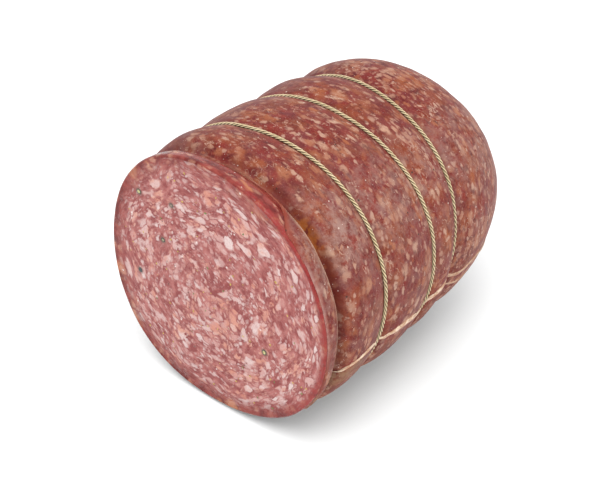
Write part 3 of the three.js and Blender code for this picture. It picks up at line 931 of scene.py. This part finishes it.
def make_filling():
    """The marbled filling: the flat cut face, its rounded rim, the bare side and the part in the casing."""
    around = np.linspace(0, 2 * math.pi, FACE_SIDES, endpoint=False)
    bare = off_collar(around)
    rim_round = RIM_ROUND_ON_COLLAR + (RIM_ROUND_BARE - RIM_ROUND_ON_COLLAR) * bare
    proud = SIDE_PROUD * bare
    rim = body_point(np.zeros(FACE_SIDES), around, inset=FILLING_INSET - proud + rim_round)
    middle = np.array([0, CUT_FACE_Y, AXIS_HEIGHT])
    face, shares = face_rings(rim, middle)
    side, alongs = side_rings(around, rim_round, proud)
    back = np.array([0, CUT_FACE_Y + BODY_LENGTH - 1.5 * MM, AXIS_HEIGHT])
    points, faces = skin_over(np.concatenate([face, side]), middle, back)
    piece = make_mesh("meat_filling", points, faces, MEAT)

    # The side's redder colour starts a little way in from the rim, and is weakest at the top.
    degrees = turned_degrees(around)
    strength = np.where(bare > 0.5, 1.0 - 0.5 * bell(degrees - 88, 32), 0.85)
    off_rim = np.linalg.norm(rim - middle, axis=1) * (1 - shares[:, None])
    reddened = (1 + 3 * (1 - smooth_step(degrees, 5, 30))) * MM
    reddened = reddened + (RIM_REDDENED - reddened) * bare
    reddening = np.minimum(np.clip(1 - off_rim / reddened, 0, 1) * 1.1, 0.97) * strength
    store(piece, "side", np.concatenate([[0], reddening.ravel(), np.ones(alongs.size), [1]]))

    # The rim is moist on the right, in a wider band lower down.
    right = smooth_step(degrees, -58, -30) * (1 - smooth_step(degrees, 62, 84))
    lower = 1 - smooth_step(degrees, 0, 20)
    wet_rim = right * np.clip(1 - off_rim / ((0.8 + 4.2 * lower) * MM), 0, 1)
    wet_side = right * (1 - smooth_step(alongs, 1.8 * MM, 4.0 * MM))
    store(piece, "moist", np.concatenate([[0], wet_rim.ravel(), wet_side.ravel(), [0]]))
    store(piece, "stain", stains_at(points))
    finish_piece(piece, "cured_meat", "meat_filling")


# The casing's wall.
CASING_SIDES = 352
CASING_ROWS = 186


def seam_step(along, around):
    """The outer layer stands proud below the seam, and thins out again lower down."""
    degrees = turned_degrees(around)
    below = along_line(SEAM, along) - degrees
    step = smooth_step(below, -0.5, 0.7) * (1 - smooth_step(below, 22, 50))
    fading = 1 - 0.75 * smooth_step(along, 118 * MM, 150 * MM)
    return SEAM_STEP * step * fading * smooth_step(along, 9 * MM, 14 * MM)


def pleat_waves(around):
    """The gathered casing's pleats: high on a fold and low between two."""
    return np.sin(13 * around + 0.6) + 0.45 * np.sin(29 * around + 2) + 0.3 * np.sin(5 * around)


def pleat_lift(radius, waves):
    """How far the gathered casing's pleats stand out backwards, deeper towards the tie."""
    return 1.0 * MM * (waves + 1.2) * (1 - smooth_step(radius, 12 * MM, 60 * MM))


def mark_skin(piece, points, along, around):
    """Keeps on each point of the casing where its material changes."""
    right = right_side(around)
    degrees = turned_degrees(around)
    edge = casing_edge(around)

    # The lip, and the crease behind it with its painted shade and its amber.
    behind = smooth_step(along, 13.6 * MM, 14.4 * MM) * (1 - smooth_step(along, 16.8 * MM, 20.0 * MM))
    behind *= 1 - 0.65 * smooth_step(degrees, 50, 72)
    store(piece, "crease_shade_and_amber", behind * (0.22 + 0.7 * right * (0.28 + 0.72 * smooth_step(degrees, 2, 22))))
    store(piece, "amber", smooth_step(degrees, 32, 39) * (1 - smooth_step(degrees, 48, 57)))
    store(piece, "lip", bell(along - 12.8 * MM, 0.8 * MM) * right)

    # The double layer just below the seam, the thin, dry skin at the cut edge, and a line of painted
    # highlight just behind that edge.
    below_seam = along_line(SEAM, along) - degrees
    below_seam = smooth_step(below_seam, 0, 0.8) * (1 - smooth_step(below_seam, 4, 17))
    store(piece, "flap", below_seam * (1 - smooth_step(along, 24 * MM, 46 * MM)))
    wedge_start = smooth_step(degrees, 34, 52) * (1 - smooth_step(degrees, 66, 80))
    near_edge = 1 - smooth_step(along - edge, 0, (1 + 5 * wedge_start) * MM)
    store(piece, "thin", near_edge * (0.55 + 0.3 * wedge_start))
    painted_edge_glint = bell(along - edge - 0.5 * MM, 0.45 * MM) * smooth_step(degrees, -12, 4)
    store(piece, "painted_edge_glint", painted_edge_glint * (1 - smooth_step(degrees, 30, 44)))

    # Bloom and painted sheen in several patches, painted shade that darkens the top, and the rounded end.
    shoulder = smooth_step(degrees, 10, 34) * (1 - smooth_step(degrees, 48, 66))
    low = smooth_step(degrees, -25, 5) * (1 - smooth_step(degrees, 5, 30))
    top = smooth_step(degrees, 98, 118) * (1 - smooth_step(degrees, 150, 180))
    wedge = (1 - smooth_step(along, 12 * MM, 14 * MM)) * smooth_step(degrees, -40, -25)
    wedge *= 1 - smooth_step(degrees, 44, 54)
    patch = bell(along - 29 * MM, 12 * MM) * bell(degrees - 37, 11)
    bloom_and_sheen = 0.05 + 0.50 * shoulder + 0.26 * low + 0.2 * top + 0.30 * wedge + 0.45 * patch
    store(piece, "bloom_and_sheen", np.clip(bloom_and_sheen * (1 - 0.65 * behind), 0, 1))
    store(piece, "dry_and_painted_top_shade", 0.32 * smooth_step(degrees, 100, 122) * (1 - smooth_step(degrees, 140, 179)))
    store(piece, "end", smooth_step(along, 128 * MM, 150 * MM))

    # Painted shade under the hoops and down between the pleats, and the tan round the tie.
    painted_hoop_shade = sum(bell(along - hoop.along, 1.9 * MM) for hoop in HOOPS)
    store(piece, "painted_hoop_shade", np.clip(painted_hoop_shade, 0, 1))
    radius = np.hypot(points[:, 0], points[:, 2] - AXIS_HEIGHT)
    near_tie = smooth_step(along, 190 * MM, 200 * MM)
    store(piece, "gathered", near_tie * (1 - smooth_step(radius, 9 * MM, 50 * MM)))
    between_pleats = smooth_step(-pleat_waves(around), 0.1, 1.5)
    store(piece, "painted_pleat_shade", near_tie * (1 - smooth_step(radius, 20 * MM, 62 * MM)) * between_pleats)


def make_casing():
    """The casing as one closed wall: its inside, its outside with the seam's step, and the tied neck."""
    around = np.linspace(0, 2 * math.pi, CASING_SIDES, endpoint=False)
    edge = casing_edge(around)
    crowds = [(16 * MM, 5 * MM, 2.2)] + [(hoop.along, 5 * MM, 1.6) for hoop in HOOPS]
    start = EDGE_ON_COLLAR
    body = crowded_rows(start, 217.6 * MM, CASING_ROWS, crowds + [(217 * MM, 9 * MM, 2.2)])
    settle = 1 - smooth_step(body, start, 34 * MM)
    rows = [along + (edge - start) * share for along, share in zip(body, settle)]
    alongs, arounds = rows_of(rows, around)
    lift = surface_lift(alongs.ravel(), arounds.ravel()) + seam_step(alongs.ravel(), arounds.ravel())

    # The casing thins out to nothing at its cut edge, and lies on the filling there.
    thin = 1 - smooth_step(alongs - edge, 0, THIN_EDGE)
    inset = (FILLING_INSET - 0.15 * MM) * thin
    outside = body_point(alongs, arounds, inset=inset, lift=lift.reshape(alongs.shape))

    # The gathered neck beyond the rounded end, pleated more and more deeply.
    neck = smooth_line(NECK, 30)
    pleat = smooth_step(neck[:, 0], 217, 223)[:, None]
    waves = pleat_waves(around)
    outside[:, :, 1] += pleat_lift(np.hypot(outside[:, :, 0], outside[:, :, 2] - AXIS_HEIGHT), waves)
    ragged = smooth_step(neck[:, 0], 229, 236)[:, None]
    radius = neck[:, 1:2] * MM * (1 + (0.075 + 0.11 * ragged) * pleat * waves)
    tail = np.stack([radius * np.cos(around),
                     CUT_FACE_Y + neck[:, 0:1] * MM + 0.8 * MM * ragged * np.sin(7 * around + 1)
                     + pleat_lift(radius, waves) * (1 - smooth_step(neck[:, 0:1], 220.5, 223)),
                     AXIS_HEIGHT + radius * np.sin(around)], axis=-1)

    # The inside, from the rounded end back to the cut edge.
    chosen = [row for row in range(CASING_ROWS) if row % 3 == 0 and alongs[row].min() < 214 * MM][::-1]
    alongs_in, arounds_in = alongs[chosen], arounds[chosen]
    lift_in = surface_lift(alongs_in.ravel(), arounds_in.ravel()).reshape(alongs_in.shape)
    thin_in = thin[chosen]
    inside = body_point(alongs_in, arounds_in, inset=CASING_WALL + 0.25 * MM * thin_in, lift=lift_in)

    inner_end = np.array([0, CUT_FACE_Y + BODY_LENGTH - CASING_WALL, AXIS_HEIGHT])
    tip = np.array([0, CUT_FACE_Y + NECK_TIP * MM, AXIS_HEIGHT])
    points, faces = skin_over(np.concatenate([inside, outside, tail]), inner_end, tip)
    piece = make_mesh("casing", points, faces, CASING)
    along_of = np.concatenate([[BODY_LENGTH], alongs_in.ravel(), alongs.ravel(),
                               np.repeat(neck[:, 0] * MM, CASING_SIDES), [NECK_TIP * MM]])
    around_of = np.concatenate([[0], arounds_in.ravel(), arounds.ravel(), np.tile(around, len(neck)), [0]])
    mark_skin(piece, points, along_of, around_of)
    finish_piece(piece, "natural_casing", "casing")


# The ribbon's section, as shares of its half width sideways and of its height.
RIBBON_SECTION = ((-1, 0.0), (-0.9, 0.45), (-0.6, 0.85), (-0.1, 1.0), (0.5, 1.0), (1, 0.80), (0.8, -0.7),
                  (-0.8, -0.7))


def make_seam_ribbon(name, line, widths):
    """The outer layer's cut edge, as a low, rounded ribbon. Widths are half widths along its length."""
    path = smooth_line(line, 260)
    along = path[:, 0] * MM
    around = np.radians(path[:, 1])
    share = np.linspace(0, 1, len(path))
    plain = body_point(along, around)
    half = np.interp(share, np.linspace(0, 1, len(widths)), widths) * MM
    half = half * (1 + 0.35 * value_noise(plain, 5 * MM, 61) + 0.40 * value_noise(plain, 1.8 * MM, 62))
    base = surface_lift(along, around)
    forward = np.gradient(plain, axis=0)
    forward /= np.linalg.norm(forward, axis=1)[:, None]
    out = np.stack([np.cos(around), np.zeros_like(around), np.sin(around)], axis=1)
    across = np.cross(forward, out)
    across /= np.linalg.norm(across, axis=1)[:, None]
    centre = plain + out * base[:, None]
    height = (SEAM_STEP + 0.12 * MM) * np.minimum(1, np.minimum(share, 1 - share) / 0.06 + 0.1)
    height *= 1 - 0.35 * smooth_step(along, 115 * MM, 125 * MM)
    rings = np.stack([centre + across * (half * sideways)[:, None] + out * (height * up)[:, None]
                      for sideways, up in RIBBON_SECTION], axis=1)
    points, faces = skin_over(rings, centre[0], centre[-1])
    piece = make_mesh(name, points, faces, SEAM_EDGE)
    downwards = np.tile([sideways / 2 + 0.5 for sideways, _ in RIBBON_SECTION], len(path))
    faded = np.repeat(smooth_step(along, 108 * MM, 130 * MM), len(RIBBON_SECTION))
    store(piece, "inwards", np.concatenate([[0.5], downwards, [0.5]]))
    store(piece, "faded", np.concatenate([[0], faded, [1]]))
    finish_piece(piece, "natural_casing")


# Node trees that grow a piece from a source.
def new_growth(name, inputs):
    """A tree, the names that a modifier knows its inputs by, and what it is given."""
    tree = bpy.data.node_groups.new(name, "GeometryNodeTree")
    tree.is_modifier = True
    names = {}
    for label, kind in (("Geometry", "Geometry"),) + inputs:
        socket = tree.interface.new_socket(label, in_out="INPUT", socket_type="NodeSocket" + kind)
        names[label] = socket.identifier
    tree.interface.new_socket("Geometry", in_out="OUTPUT", socket_type="NodeSocketGeometry")
    return tree, names, tree.nodes.new("NodeGroupInput").outputs


def keep(tree, geometry, name, value, kind="FLOAT"):
    """Keeps a value under a name on each point of a geometry."""
    made = add(tree, "GeometryNodeStoreNamedAttribute", {"Geometry": geometry, "Name": name},
               data_type=kind, domain="POINT")
    tree.links.new(value, made.inputs["Value"])
    return made.outputs[0]


def hand_on(tree, geometry, material):
    """Gives the grown geometry its material, and makes it the tree's result."""
    finished = add(tree, "GeometryNodeSetMaterial", {"Geometry": geometry, "Material": material})
    tree.links.new(finished.outputs[0], tree.nodes.new("NodeGroupOutput").inputs[0])


# Twine. The path of a hoop or a knot becomes plies laid round each other.
PLIES = 3
PLY_RADIUS = 0.48 * MM
PLY_OFFSET = 0.58 * MM
LAY = 9.6 * MM
TWINE_STEP = 0.42 * MM


def make_plies_tree():
    """Lays plies round every spline of a curve, with a whole number of turns, and frays the open ends."""
    tree, names, given = new_growth("lay_plies", (
        ("Plies", "Int"), ("Ply Radius", "Float"), ("Ply Offset", "Float"), ("Lay", "Float"),
        ("Step", "Float"), ("Fray", "Float"), ("Material", "Material")))
    even = add(tree, "GeometryNodeResampleCurve", {"Curve": given["Geometry"], "Length": given["Step"]},
               mode="LENGTH")
    copies = add(tree, "GeometryNodeDuplicateElements",
                 {"Geometry": even.outputs[0], "Amount": given["Plies"]}, domain="SPLINE")
    index = copies.outputs["Duplicate Index"]
    parameter = add(tree, "GeometryNodeSplineParameter").outputs
    length = add(tree, "GeometryNodeSplineLength").outputs["Length"]
    turns = calc(tree, "ROUND", calc(tree, "DIVIDE", length, given["Lay"]))
    share = calc(tree, "DIVIDE", index, given["Plies"])
    phase = times(tree, calc(tree, "MULTIPLY_ADD", parameter["Factor"], turns, share), -2 * math.pi)

    # Open ends unlay: the plies spread over the last few millimetres.
    closed = add(tree, "GeometryNodeInputSplineCyclic").outputs[0]
    open_end = calc(tree, "SUBTRACT", 1.0, closed)
    to_end = calc(tree, "MINIMUM", parameter["Length"], calc(tree, "SUBTRACT", length, parameter["Length"]))
    spread = fade(tree, to_end, 0.0, 4 * MM, 1.0, 0.0)
    fray = times(tree, times(tree, spread, open_end), given["Fray"])
    offset = times(tree, given["Ply Offset"], calc(tree, "ADD", fray, 1.0))

    normal = add(tree, "GeometryNodeInputNormal").outputs[0]
    tangent = add(tree, "GeometryNodeInputTangent").outputs[0]
    binormal = move(tree, "CROSS_PRODUCT", tangent, normal)
    sideways = grow(tree, normal, times(tree, calc(tree, "COSINE", phase), offset))
    upwards = grow(tree, binormal, times(tree, calc(tree, "SINE", phase), offset))
    position = add(tree, "GeometryNodeInputPosition").outputs[0]
    core = keep(tree, copies.outputs[0], "core", position, "FLOAT_VECTOR")
    offsets = {"Geometry": core, "Offset": move(tree, "ADD", sideways, upwards)}
    laid = add(tree, "GeometryNodeSetPosition", offsets).outputs[0]
    run = keep(tree, laid, "run", parameter["Length"])
    numbered = keep(tree, run, "ply", index)
    circle = add(tree, "GeometryNodeCurvePrimitiveCircle", {"Resolution": 7, "Radius": given["Ply Radius"]})
    turned = keep(tree, circle.outputs[0], "turn", parameter["Factor"])
    tube = add(tree, "GeometryNodeCurveToMesh",
               {"Curve": numbered, "Profile Curve": turned, "Fill Caps": True})
    smooth = add(tree, "GeometryNodeSetShadeSmooth", {"Geometry": tube.outputs[0]})
    real = add(tree, "GeometryNodeRealizeInstances", {"Geometry": smooth.outputs[0]})
    hand_on(tree, real.outputs[0], given["Material"])
    return tree, names


def grown(source, tree, names, values, name):
    """The plain mesh that a node tree makes of a source object, which is then removed."""
    modifier = source.modifiers.new("grow", "NODES")
    modifier.node_group = tree
    for label, value in values.items():
        modifier[names[label]] = value
    bpy.context.view_layer.update()
    evaluated = source.evaluated_get(bpy.context.evaluated_depsgraph_get())
    mesh = bpy.data.meshes.new_from_object(evaluated)
    mesh.name = name
    bpy.data.objects.remove(source)
    piece = bpy.data.objects.new(name, mesh)
    bpy.context.scene.collection.objects.link(piece)
    return piece


def make_twine(name, paths, fray=1.1):
    """Plied twine along paths, each a pair of points and whether it closes on itself."""
    curve = bpy.data.curves.new(name + "_path", "CURVE")
    curve.dimensions = "3D"
    for points, closed in paths:
        spline = curve.splines.new("POLY")
        spline.points.add(len(points) - 1)
        spline.points.foreach_set("co", np.column_stack([points, np.ones(len(points))]).ravel())
        spline.use_cyclic_u = closed
    source = bpy.data.objects.new(name + "_path", curve)
    bpy.context.scene.collection.objects.link(source)
    tree, names = PLIES_TREE
    values = {"Plies": PLIES, "Ply Radius": PLY_RADIUS, "Ply Offset": PLY_OFFSET, "Lay": LAY,
              "Step": TWINE_STEP, "Fray": fray, "Material": FLAX}
    piece = grown(source, tree, names, values, name)
    finish_piece(piece, "twine", name)


# A knot and its two tails, as one path: (sideways, along, out) from the knot's foot, in millimetres.
KNOT_PATH = ((-9.4, -6.9, 1.3), (-7.6, -5.0, 1.6), (-5.6, -3.6, 1.7), (-3.4, -2.6, 2.0), (-1.2, -2.2, 3.1),
             (1.1, -1.9, 4.5), (2.5, -0.3, 4.7), (1.9, 1.6, 3.6), (0.0, 2.4, 2.9), (-2.1, 1.5, 3.2),
             (-2.5, -0.4, 4.4), (-1.0, -1.6, 5.6), (1.0, -0.6, 5.7), (0.9, 1.1, 5.0), (-0.4, 1.3, 4.0),
             (0.9, 2.2, 2.6), (3.2, 2.8, 1.9), (5.4, 3.7, 1.7), (7.4, 5.2, 1.6), (9.0, 7.2, 1.3))


def knot_on(foot, sideways, along, out, tails=1.0):
    """The knot's path at a foot point, with its three directions."""
    local = np.array(KNOT_PATH) * MM
    local[:, :2] *= np.where(np.abs(local[:, :1]) > 3 * MM, tails, 1.0)
    return smooth_line(foot + local[:, :1] * sideways + local[:, 1:2] * along + local[:, 2:] * out, 170)


# A hoop has even steps all round, is taut over a few of them to each side, and wanders a little.
HOOP_SIDES = 480
TAUT_STEPS = 8
HOOP_WANDER = 0.12 * MM


def make_hoop(number, hoop):
    """A taut hoop of twine that bridges the skin's small hollows, and its knot."""
    around = np.linspace(0, 2 * math.pi, HOOP_SIDES, endpoint=False)
    skin = surface_lift(np.full_like(around, hoop.along), around)
    taut = np.mean([np.roll(skin, shift) for shift in range(-TAUT_STEPS, TAUT_STEPS + 1)], axis=0)
    line = over_skin(hoop.along, around, taut + TWINE_LIFT)
    line += HOOP_WANDER * np.stack([value_noise(line, 11 * MM, 70 + axis) for axis in range(3)], axis=1)
    turn = hoop.knot_around
    foot = over_skin(hoop.along, turn, 0.0)
    out = np.array([math.cos(turn), 0, math.sin(turn)])
    sideways = np.array([-math.sin(turn), 0, math.cos(turn)])
    knot = knot_on(foot, sideways, np.array([0, 1.0, 0]), out)
    name = f"twine_hoop_{number}"
    make_twine(name, [(line, True), (knot, False)])


# The tie round the gathered neck.
TIE_TURNS = 2.15
TIE_RADIUS = 8.6 * MM
TIE_ALONG = 224.5 * MM
TIE_WIDTH = 3.1 * MM
TIE_KNOT_ALONG = 226 * MM


def make_end_tie():
    """Two turns of twine round the gathered neck, and a knot on top."""
    share = np.linspace(0, 1, 260)
    turn = math.pi / 2 + (share - 0.5) * 2 * math.pi * TIE_TURNS
    line = np.stack([TIE_RADIUS * np.cos(turn), CUT_FACE_Y + TIE_ALONG + TIE_WIDTH * share,
                     AXIS_HEIGHT + TIE_RADIUS * np.sin(turn)], axis=1)
    foot = np.array([0, CUT_FACE_Y + TIE_KNOT_ALONG, AXIS_HEIGHT + TIE_RADIUS + 0.6 * MM])
    knot = knot_on(foot, np.array([1.0, 0, 0]), np.array([0, 0.55, 0]), np.array([0, 0, 1.0]), tails=0.85)
    make_twine("end_tie", [(line, False), (knot, False)], fray=0.6)


# Peppercorns. Each stands a little proud of the cut face, dips in its middle and is rounded at its rim.
CORN_SIDES = 40
CORN_PROUD = 0.12 * MM
CORN_DIP = 0.16 * MM
CORN_ROUND = 0.1 * MM
CORN_FACE_RINGS = (0.16, 0.3, 0.45, 0.6, 0.75, 0.88, 0.96)  # shares of the radius
CORN_BACK_TURNS = (0.25, 0.5, 0.8, 1.1, 1.4)  # radians round the back


def make_peppercorn(number, x, z, radius):
    """A peppercorn cut through its middle: a wrinkled round with a flat face and a round back."""
    around = np.linspace(0, 2 * math.pi, CORN_SIDES, endpoint=False)
    wrinkled = 1 + 0.05 * np.sin(5 * around + number) + 0.035 * np.sin(9 * around + 2.3 * number)
    stretch = np.array([1.0 + 0.06 * math.sin(number), 0, 1.0 - 0.06 * math.sin(number)])
    middle = np.array([x, CUT_FACE_Y - CORN_PROUD, z])
    rings = []
    out = [0.0]
    for share in CORN_FACE_RINGS:
        rings.append((share, CORN_ROUND * share**6 + CORN_DIP * math.exp(-((share / 0.3) ** 2))))
        out += [share] * CORN_SIDES
    for turn in CORN_BACK_TURNS:
        rings.append((math.cos(turn), CORN_ROUND + radius * math.sin(turn)))
        out += [1.0] * CORN_SIDES
    direction = np.stack([np.cos(around), np.zeros(CORN_SIDES), np.sin(around)], axis=1) * stretch
    placed = []
    for share, depth in rings:
        reach = radius * share * (1 + (wrinkled - 1) * min(1, share * 1.2))
        placed.append(middle + direction * reach[:, None] + np.array([0, depth, 0]))
    start = middle + np.array([0, CORN_DIP, 0])
    end = middle + np.array([0, CORN_ROUND + radius, 0])
    points, faces = skin_over(np.array(placed), start, end)
    piece = make_mesh(f"peppercorn_{number}", points, faces, CORN_FINISHES[number - 1])
    store(piece, "out", out + [1.0])
    finish_piece(piece, "spice", f"peppercorn_{number}")


# Seeds and flakes of spice in the cut face.
def make_scatter_tree():
    """Scatters small, flat, turned flakes over a surface."""
    tree, names, given = new_growth("scatter_flakes", (
        ("Per Area", "Float"), ("Seed", "Int"), ("Smallest", "Float"), ("Largest", "Float"),
        ("Length", "Float"), ("Material", "Material")))
    spots = add(tree, "GeometryNodeDistributePointsOnFaces",
                {"Mesh": given["Geometry"], "Density": given["Per Area"], "Seed": given["Seed"]})
    flake = add(tree, "GeometryNodeMeshIcoSphere", {"Radius": 1.0, "Subdivisions": 2})
    thin = add(tree, "ShaderNodeCombineXYZ", {0: given["Length"], 1: 0.35, 2: 1.0}).outputs[0]
    flat = add(tree, "GeometryNodeTransform", {"Geometry": flake.outputs[0], "Scale": thin})
    size = add(tree, "FunctionNodeRandomValue", {"Seed": given["Seed"]}, data_type="FLOAT")
    tree.links.new(given["Smallest"], size.inputs[2])
    tree.links.new(given["Largest"], size.inputs[3])
    turn = add(tree, "FunctionNodeRandomValue", {"Seed": calc(tree, "ADD", given["Seed"], 5.0)},
               data_type="FLOAT_VECTOR")
    turn.inputs[0].default_value = (-0.25, -math.pi, -0.25)
    turn.inputs[1].default_value = (0.25, math.pi, 0.25)
    placed = add(tree, "GeometryNodeInstanceOnPoints",
                 {"Points": spots.outputs[0], "Instance": flat.outputs[0],
                  "Rotation": turn.outputs[0], "Scale": size.outputs[1]})
    real = add(tree, "GeometryNodeRealizeInstances", {"Geometry": placed.outputs[0]})
    smooth = add(tree, "GeometryNodeSetShadeSmooth", {"Geometry": real.outputs[0]})
    hand_on(tree, smooth.outputs[0], given["Material"])
    return tree, names


# Each spice: its piece, its material, the darker and paler colours, and (flakes per square metre, seed,
# smallest and largest size, length as a share of width).
SPICES = (
    ("ochre_seeds", "ochre_seed", tint(0.30, 0.17, 0.03), tint(0.55, 0.38, 0.10),
     (3600, 3, 0.25 * MM, 0.6 * MM, 1.7)),
    ("herb_flakes", "green_herb", tint(0.08, 0.10, 0.03), tint(0.22, 0.24, 0.08),
     (900, 7, 0.3 * MM, 0.6 * MM, 2.0)),
    ("pepper_grains", "pepper_grain", tint(0.03, 0.025, 0.02), tint(0.12, 0.08, 0.05),
     (1800, 11, 0.2 * MM, 0.4 * MM, 1.2)),
)


def make_flakes(name, material, per_area, seed, smallest, largest, length):
    """Flakes of one kind, half sunk in the cut face."""
    around = np.linspace(0, 2 * math.pi, 48, endpoint=False)
    rim = body_point(np.zeros(48), around, inset=7 * MM)
    rim[:, 1] = CUT_FACE_Y + 0.05 * MM
    source = make_mesh(name + "_ground", rim, [tuple(range(48))], material)
    tree, names = SCATTER_TREE
    values = {"Per Area": per_area, "Seed": seed, "Smallest": smallest, "Largest": largest, "Length": length,
              "Material": material}
    piece = grown(source, tree, names, values, name)
    finish_piece(piece, "spice")


FLOOR_SIZE = 12.0


def make_floor():
    """The floor is the stage, not a piece."""
    bpy.ops.mesh.primitive_plane_add(size=FLOOR_SIZE, location=(0, 0, 0))
    floor = bpy.context.object
    floor.name = "floor"
    floor.data.materials.append(make_floor_material())


# The camera: the point it looks at, its distance and direction from there, and its lens in millimetres.
CAMERA_TARGET = Vector((-0.00503, -0.0335, 0.07545))
CAMERA_DISTANCE = 0.74718
CAMERA_AZIMUTH = 40.167 * DEGREE
CAMERA_ELEVATION = 33.527 * DEGREE
CAMERA_LENS = 71.26


def make_camera():
    """The camera that sees the sausage from in front, above and to its right."""
    data = bpy.data.cameras.new("camera")
    data.lens = CAMERA_LENS
    data.sensor_width = 36
    data.clip_start = 0.01
    camera = bpy.data.objects.new("camera", data)
    bpy.context.scene.collection.objects.link(camera)
    flat = math.cos(CAMERA_ELEVATION)
    up = math.sin(CAMERA_ELEVATION)
    back = Vector((math.sin(CAMERA_AZIMUTH) * flat, -math.cos(CAMERA_AZIMUTH) * flat, up))
    camera.location = CAMERA_TARGET + back * CAMERA_DISTANCE
    camera.rotation_mode = "QUATERNION"
    camera.rotation_quaternion = (-back).to_track_quat("-Z", "Y")
    bpy.context.scene.camera = camera


# Each light's name, the direction it shines from, its distance and size in metres, and its watts.
LIGHTS = (
    ("key", (0.20, -0.42, 0.90), 1.6, 1.0, 15),
    ("band", (0.70, 0.62, 0.42), 1.8, 0.9, 3),
)
LIT_POINT = Vector((0, -0.02, 0.08))
WORLD_STRENGTH = 1.15


def make_light(name, direction, distance, size, power):
    """A square soft light that shines at the sausage from a direction."""
    data = bpy.data.lights.new(name, "AREA")
    data.shape = "SQUARE"
    data.size = size
    data.energy = power
    light = bpy.data.objects.new(name, data)
    bpy.context.scene.collection.objects.link(light)
    towards = Vector(direction).normalized()
    light.location = LIT_POINT + towards * distance
    light.rotation_mode = "QUATERNION"
    light.rotation_quaternion = (-towards).to_track_quat("-Z", "Y")


def make_lighting():
    """A soft light from above, a weak one from behind on the right, and an even white world."""
    for light in LIGHTS:
        make_light(*light)
    world = bpy.data.worlds.new("studio")
    world.use_nodes = True
    background = world.node_tree.nodes["Background"]
    background.inputs["Color"].default_value = tint(1.0, 1.0, 1.0)
    background.inputs["Strength"].default_value = WORLD_STRENGTH
    bpy.context.scene.world = world
    bpy.context.scene.view_settings.view_transform = "Standard"


PLIES_TREE = make_plies_tree()
SCATTER_TREE = make_scatter_tree()

make_camera()
make_lighting()
make_floor()
make_filling()
make_casing()
make_seam_ribbon("casing_seam", SEAM, SEAM_HALF_WIDTHS)
make_seam_ribbon("casing_seam_branch", SEAM_BRANCH, SEAM_BRANCH_HALF_WIDTHS)
make_seam_ribbon("casing_flap_edge", FLAP_EDGE, FLAP_EDGE_HALF_WIDTHS)
for hoop_number, one_hoop in enumerate(HOOPS, 1):
    make_hoop(hoop_number, one_hoop)
make_end_tie()
for corn_number, (corn_x, corn_z, corn_radius) in enumerate(corn_places(), 1):
    make_peppercorn(corn_number, corn_x, corn_z, corn_radius)
for flake_name, finish_name, dark_tint, light_tint, flake_counts in SPICES:
    make_flakes(flake_name, make_spice_material(finish_name, dark_tint, light_tint, 0.8 * MM), *flake_counts)
